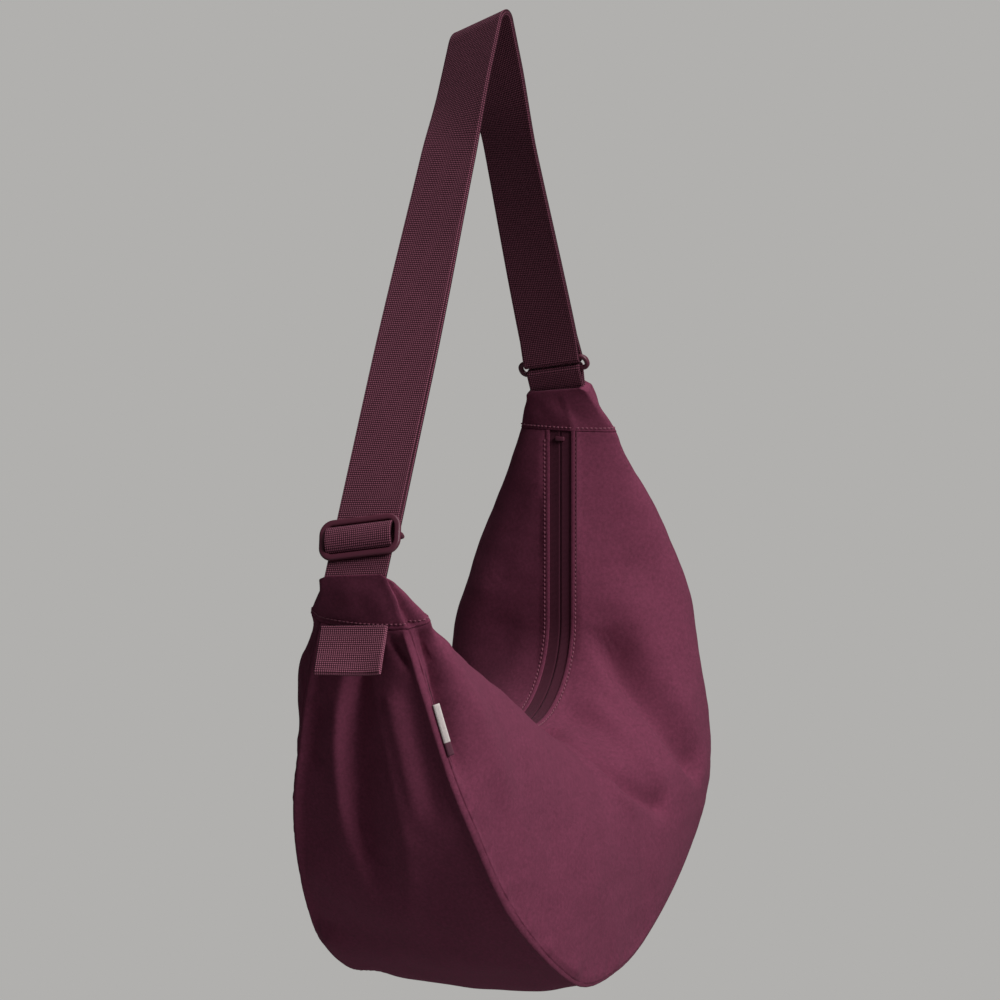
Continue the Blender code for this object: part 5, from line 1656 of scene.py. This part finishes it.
    def build_tab(self) -> None:
        """Build the tab of webbing that goes from the far cap round the ring's lower bar."""
        leg = self.legs[End.FAR]
        base = self.tops[End.FAR] + leg * self.tab_sewn_depth
        side = outward(leg) * self.pitch * 0.5
        turn = self.turn(self.ring_centre() + leg * self.ring_spread, *self.tab_turn_deg)
        path = upright(resample(np.vstack([base + side, turn, base - side]), 90))
        obj = band("ring_tab", path, self.tab_width, self.thickness, ACROSS, 30)
        self.settle(obj)
        self.finishes.hand_over(obj, "strap_webbing", "bag", "far_tab")


def read_spots(obj: bpy.types.Object) -> np.ndarray:
    """Return the places of a mesh's points, one row each."""
    spots = np.empty(len(obj.data.vertices) * 3)
    obj.data.vertices.foreach_get("co", spots)
    return spots.reshape(-1, 3)


def write_spots(obj: bpy.types.Object, spots: np.ndarray) -> None:
    """Move a mesh's points to new places."""
    obj.data.vertices.foreach_set("co", spots.ravel())
    obj.data.update()


@dataclass
class Fitting:
    """A moulded fitting on the strap, with its own axes: up the leg, across and outward."""

    strap: Strap
    finishes: Finishes
    end: End
    rise: float
    layer_shift: float
    tilt_deg: float
    side_shift: float = 0.0

    def axes(self) -> tuple[np.ndarray, tuple]:
        """Return the centre between the layers, and the up, across and outward axes."""
        leg = self.strap.legs[self.end]
        up, out = upright(-leg), upright(outward(leg))
        centre = upright(self.strap.tops[self.end]) + ACROSS * self.side_shift
        centre = centre + up * self.rise + out * self.layer_shift
        tilt = math.radians(self.tilt_deg)
        return centre, (up * math.cos(tilt) + ACROSS * math.sin(tilt),
                        ACROSS * math.cos(tilt) - up * math.sin(tilt), out)

    @staticmethod
    def frame_block(name: str, size: Sequence[float], corner: float, bar: float, rounding: float
                    ) -> bpy.types.Object:
        """Model a rounded frame from a block: bevelled corners and a window bridged through it."""
        obj = Bench.box(name, size)
        bpy.ops.object.mode_set(mode="EDIT")
        Bench.pick(obj, "EDGE", lambda e: abs(e.verts[0].co.z - e.verts[1].co.z) > size[2] * 0.5)
        bpy.ops.mesh.bevel(offset=corner, segments=8, affect="EDGES")
        Bench.pick(obj, "FACE", lambda f: abs(f.normal.z) > 0.9)
        bpy.ops.mesh.inset(thickness=bar)
        bpy.ops.mesh.bridge_edge_loops()
        bpy.ops.object.mode_set(mode="OBJECT")
        return Bench.finish(obj, ("BEVEL", {"width": rounding, "segments": 4, "limit_method": "ANGLE"}))


@dataclass
class FarRing(Fitting):
    """The slim ring between the strap and the tab of the far cap."""

    width: float = 0.0510
    height: float = 0.0106
    bar: float = 0.0030
    corner_share: float = 0.46
    rounding_share: float = 0.36

    def build(self) -> None:
        """Build the ring."""
        centre, axes = self.axes()
        obj = self.frame_block("ring_frame", (self.height, self.width, self.bar),
                               corner=self.height * self.corner_share, bar=self.bar,
                               rounding=self.bar * self.rounding_share)
        Bench.settle(obj, centre, axes)
        self.finishes.hand_over(obj, "moulded_frame", "bag", "far_ring")


@dataclass
class Adjuster(Fitting):
    """The moulded adjuster, the roll of webbing in its window and the sewn end round its rear bar."""

    width: float = 0.052
    height: float = 0.025
    bar: float = 0.0038
    depth: float = 0.0030
    corner: float = 0.0086
    rear_radius: float = 0.0016
    roll_half: float = 0.0074
    roll_height: float = 0.0042
    roll_width: float = 0.0425
    roll_fullness: float = 0.8
    rounding: float = 0.0011
    end_reach: float = 0.0120
    end_turn: float = 1.45
    stitch_rises: tuple = (0.0075, 0.0098)
    stitch_half: float = 0.017

    def build(self) -> None:
        """Build the frame, the roll and the sewn end."""
        centre, axes = self.axes()
        stack = (self.strap.pitch + self.strap.thickness) * 0.5
        self.build_frame(centre, axes, stack)
        self.build_roll(centre, axes, stack)
        self.build_end(centre, axes, stack)

    def build_frame(self, centre: np.ndarray, axes: tuple, stack: float) -> None:
        """Model the frame and the bar behind the strap."""
        obj = self.frame_block("adjuster_frame", (self.height, self.width, self.depth), corner=self.corner,
                               bar=self.bar, rounding=self.rounding)
        front = stack + self.strap.clearance + self.depth * 0.5
        obj.data.transform(Matrix.Translation((0.0, 0.0, front)))
        back = -(stack + self.strap.clearance + self.rear_radius)
        edge = (self.width - self.bar) * 0.5
        bend = self.rear_radius * 1.6
        half = [(edge, front), (edge, back + bend), (edge - bend * 0.3, back + bend * 0.3),
                (edge - bend, back)]
        route = [(0.0, -y, z) for y, z in half] + [(0.0, 0.0, back)] + [(0.0, y, z) for y, z in half[::-1]]
        rings = tube_rings(smooth_curve(route, 60), self.rear_radius, self.rear_radius,
                           np.array([1.0, 0.0, 0.0]), 14)
        Bench.merge(obj, rings_object("rear_bar", rings), "UNION")
        Bench.finish(obj)
        Bench.settle(obj, centre, axes)
        self.finishes.hand_over(obj, "moulded_frame", "strap_adjuster", "strap_adjuster")

    @staticmethod
    def local(centre: np.ndarray, axes: tuple, points: np.ndarray) -> np.ndarray:
        """Turn points in the adjuster's own axes into points in space."""
        return centre + points @ np.array(axes)

    def build_roll(self, centre: np.ndarray, axes: tuple, stack: float) -> None:
        """Build the roll of webbing that bulges through the window."""
        base = stack + self.strap.clearance + self.strap.thickness * 0.5
        angles = np.linspace(0.0, math.pi, 50)
        flat = np.stack([self.roll_half * np.cos(angles), np.zeros(50),
                         base + self.roll_height * np.sin(angles) ** self.roll_fullness], axis=1)
        obj = band("strap_roll", self.local(centre, axes, resample(flat, 60)), self.roll_width,
                   self.strap.thickness, axes[1], 30)
        self.finishes.hand_over(obj, "strap_webbing", "strap_adjuster", "strap_fold")

    def build_end(self, centre: np.ndarray, axes: tuple, stack: float) -> None:
        """Build the webbing end that is sewn round the rear bar, and its bar of stitches."""
        strap = self.strap
        back = -(stack + strap.clearance + self.rear_radius)
        reach = self.rear_radius + strap.clearance + strap.thickness * 0.5
        close = -(stack + strap.clearance + strap.thickness * 0.5)
        turn = [(reach * math.sin(a), 0.0, back - reach * math.cos(a))
                for a in np.linspace(-self.end_turn, self.end_turn, 17)]
        turn += [(reach * 1.5, 0.0, close - strap.clearance), (reach * 2.2, 0.0, close),
                 (self.end_reach, 0.0, close)]
        path = smooth_curve(turn, 50)
        obj = band("sewn_end", self.local(centre, axes, path), self.roll_width, strap.thickness, axes[1], 30)
        self.finishes.hand_over(obj, "strap_webbing", "strap_adjuster", "strap_end")
        face = close - strap.thickness * 0.5
        rows = [np.linspace((rise, -self.stitch_half, face), (rise, self.stitch_half, face), 30)
                for rise in self.stitch_rises]
        line = self.local(centre, axes, np.vstack([rows[0], rows[1][::-1]]))
        obj = Stitching().sew("end_stitches", line, np.repeat(-axes[2][None, :], len(line), 0))
        self.finishes.hand_over(obj, "sewing_thread", "strap_adjuster", slot="strap_end")


@dataclass
class EndLoop:
    """The folded tab of webbing under the near cap, which leans outward and tilts."""

    form: BagForm
    finishes: Finishes
    width: float = 0.0425
    drop: float = 0.0300
    thickness: float = 0.0013
    half_gap: float = 0.0009
    stand: float = 0.0082
    fall: float = 0.0020
    side_shift: float = 0.0020
    lean_deg: float = 24.0
    tilt_deg: float = 5.0
    cup_height: float = 0.0016
    cup_half: float = 0.02
    wave_height: float = 0.0007
    wave_rate: float = 140.0

    def build(self) -> None:
        """Build the tab: down, round its fold and up again."""
        top = self.form.hung(self.form.gusset_line[0])
        lean, tilt = math.radians(self.lean_deg), math.radians(self.tilt_deg)
        hinge = np.array([top[0] - self.stand, self.side_shift, top[1] - self.fall])
        down = np.array([-math.sin(lean), 0.0, -math.cos(lean)])
        across = ACROSS * math.cos(tilt) + down * math.sin(tilt)
        along = down * math.cos(tilt) - ACROSS * math.sin(tilt)
        out = np.cross(along, across)
        if out[0] > 0.0:
            out = -out
        depth = self.drop - self.half_gap - self.thickness * 0.5
        leaf = np.linspace((0.0, self.half_gap), (depth, self.half_gap), 30)
        turn = (depth, 0.0) + self.half_gap * circle(np.linspace(0.5, -0.5, 9)[1:-1] * math.pi)
        flat = np.vstack([leaf, turn, leaf[::-1] * (1.0, -1.0)])
        path = hinge + flat @ np.array([along, out])
        obj = band("webbing_tab", path, self.width, self.thickness, across, 34)
        spots = read_spots(obj)
        off = spots - hinge
        low, side = ramp(off @ along, 0.0, self.drop), off @ across
        bend = low * (self.cup_height * (side / self.cup_half) ** 2
                      + self.wave_height * np.sin(side * self.wave_rate))
        write_spots(obj, spots + out * bend[:, None])
        self.finishes.hand_over(obj, "tab_webbing", "end_loop", "end_loop")


@dataclass
class SeamLabel:
    """The small bare label folded into the front seam."""

    form: BagForm
    finishes: Finishes
    share: float = 0.083
    length: float = 0.032
    width: float = 0.0042
    stand: float = 0.0004
    thickness: float = 0.0005
    lean: tuple = (0.8, 0.6)
    curl: float = 0.036

    def build(self) -> None:
        """Build the folded label as two leaves with a round outer fold."""
        line = self.form.seam_line(np.linspace(self.share - 0.03, self.share + 0.03, 41), Side.FRONT)
        along = lengths(line)
        middle = along[len(line) // 2]
        half = self.length * 0.5
        edge = points_at(np.linspace(middle - half, middle + half, 33), along, line)
        ways = unit(np.gradient(edge, axis=0))
        out = -self.lean[0] * upright(self.form.station(self.share)[1]) - self.lean[1] * ACROSS
        out = unit(out - ways * (ways @ out)[:, None])
        up = np.cross(ways, out)
        leaf = np.array([(0.0, 1.0), (0.35, 1.0), (0.7, 1.0), (0.93, 0.9)])
        profile = np.vstack([leaf, (1.0, 0.0), leaf[::-1] * (1.0, -1.0)])
        profile = profile * (self.width, self.thickness) + (self.stand, 0.0)
        curl = self.curl * np.sin(np.linspace(0.0, math.pi, len(edge)))[:, None]
        obj = rings_object("bare_label", sweep(edge, out + up * curl, up, profile))
        self.finishes.hand_over(obj, "woven_label", "bag", "seam_label")


# Studio


@dataclass(frozen=True)
class Lamp:
    """One square lamp: its direction from the bag, its distance, its side and its power in watts."""

    name: str
    way: tuple
    reach: float
    size: float
    power: float

    def hang(self, aim: Vector) -> None:
        """Hang the lamp and turn it towards a point."""
        data = bpy.data.lights.new(self.name, "AREA")
        data.shape = "SQUARE"
        data.size = self.size
        data.energy = self.power
        lamp = bpy.data.objects.new(self.name, data)
        bpy.context.scene.collection.objects.link(lamp)
        lamp.location = Vector(self.way).normalized() * self.reach + aim
        lamp.rotation_euler = (aim - lamp.location).to_track_quat("-Z", "Y").to_euler()


@dataclass
class Studio:
    """The floor, the backdrop colour, the lamps and the camera.

    The key lamp hangs high in front of the near end, and the weaker top lamp nearly above the bag.
    """

    azimuth_deg: float = 26.0
    elevation_deg: float = 7.5
    roll_deg: float = 0.4375
    look: tuple = (-0.0222, -0.0262, -0.2840)
    distance: float = 2.853
    focal_pixels: float = 4718.76
    picture_pixels: float = 1000.0
    sensor_width: float = 36.0
    clip_range: tuple = (0.05, 60.0)
    floor_height: float = -1.20
    floor_size: float = 60.0
    floor_roughness: float = 0.9
    backdrop: tuple = (0.440, 0.434, 0.423)
    floor_colour: tuple = (0.40, 0.40, 0.40)
    ambient: float = 0.06
    aim: tuple = (0.0, 0.0, -0.4)
    lamps: tuple = (Lamp("key_lamp", (-0.28, -0.76, 0.58), reach=2.4, size=1.0, power=39.0),
                    Lamp("top_lamp", (0.10, -0.30, 0.95), reach=2.4, size=1.2, power=22.0))

    def build(self) -> None:
        """Build the studio."""
        self.build_camera()
        self.build_floor()
        self.build_world()
        for lamp in self.lamps:
            lamp.hang(Vector(self.aim))

    def build_camera(self) -> None:
        """Place the camera at the photographed angle."""
        a, e, q = (math.radians(d) for d in (self.azimuth_deg, self.elevation_deg, self.roll_deg))
        right = Vector((math.sin(a), -math.cos(a), 0.0))
        ahead = Vector((math.cos(a) * math.cos(e), math.sin(a) * math.cos(e), -math.sin(e)))
        up = right.cross(ahead)
        turned = right * math.cos(q) + up * math.sin(q)
        risen = up * math.cos(q) - right * math.sin(q)
        data = bpy.data.cameras.new("camera")
        data.sensor_width = self.sensor_width
        data.sensor_fit = "HORIZONTAL"
        data.lens = self.focal_pixels / self.picture_pixels * self.sensor_width
        data.clip_start, data.clip_end = self.clip_range
        camera = bpy.data.objects.new("camera", data)
        bpy.context.scene.collection.objects.link(camera)
        turn = Matrix((turned, risen, -ahead)).transposed().to_4x4()
        spot = Vector(self.look) - ahead * self.distance
        camera.matrix_world = Matrix.Translation(spot) @ turn
        bpy.context.scene.camera = camera

    def build_floor(self) -> None:
        """Lay a large floor below the hanging bag; the camera sees it in the backdrop's own grey."""
        Bench.clear()
        bpy.ops.mesh.primitive_plane_add(size=self.floor_size, location=(0.0, 0.0, self.floor_height))
        floor = bpy.context.object
        floor.name = "studio_floor"
        made, w, shader = start_material("studio_grey")
        w.feed(shader, {"Base Color": (*self.floor_colour, 1.0), "Roughness": self.floor_roughness})
        self.show_backdrop(w, shader, "ShaderNodeEmission", "Material Output")
        floor.data.materials.append(made)

    def build_world(self) -> None:
        """Give the world a soft grey, and the backdrop's own grey where the camera sees it."""
        world = bpy.data.worlds.new("studio_world")
        bpy.context.scene.world = world
        world.use_nodes = True
        w = Wiring(world.node_tree)
        background = w.tree.nodes["Background"]
        w.feed(background, {"Color": (1.0, 1.0, 1.0, 1.0), "Strength": self.ambient})
        self.show_backdrop(w, background, "ShaderNodeBackground", "World Output")

    def show_backdrop(self, w: Wiring, plain: bpy.types.Node, kind: str, end: str) -> None:
        """Let the camera see the backdrop's grey, and everything else a plain shader.

        Args:
            w: The wiring of the tree.
            plain: The shader that lights the bag.
            kind: The type of node that shows the grey.
            end: The name of the tree's output node.
        """
        seen = w.add(kind, {"Color": (*self.backdrop, 1.0), "Strength": 1.0})
        path = w.add("ShaderNodeLightPath")
        mix = w.add("ShaderNodeMixShader", {0: path.outputs["Is Camera Ray"], 1: plain.outputs[0],
                                            2: seen.outputs[0]})
        w.feed(w.tree.nodes[end], {0: mix.outputs[0]})


def main() -> None:
    """Build the studio and the bag."""
    logging.basicConfig(level=logging.INFO, format="%(name)s: %(message)s")
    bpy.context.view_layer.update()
    scene = bpy.context.scene
    scene.view_settings.view_transform = "Standard"
    Studio().build()
    finishes = Finishes()
    form = BagForm()
    body = BagBody(form, finishes)
    body.build()
    Mouth(form, body, finishes).build()
    Slider(form, finishes).build()
    EndCap(End.NEAR, form, finishes, tilt_deg=6.0, seam_share=0.0, hem_share=0.003, seed=41,
           dent_share=1.0).build()
    EndCap(End.FAR, form, finishes, tilt_deg=8.0, seam_share=1.0, hem_share=0.997, seed=43,
           dent_share=0.2).build()
    strap = Strap(form, finishes)
    strap.build()
    Adjuster(strap, finishes, End.NEAR, rise=strap.near_rise, layer_shift=-strap.pitch * 0.5, tilt_deg=11.0,
             side_shift=0.0013).build()
    FarRing(strap, finishes, End.FAR, rise=strap.ring_rise, layer_shift=strap.pitch * 0.5,
            tilt_deg=strap.far_skew_deg).build()
    EndLoop(form, finishes).build()
    SeamLabel(form, finishes).build()


if __name__ == "__main__":
    main()
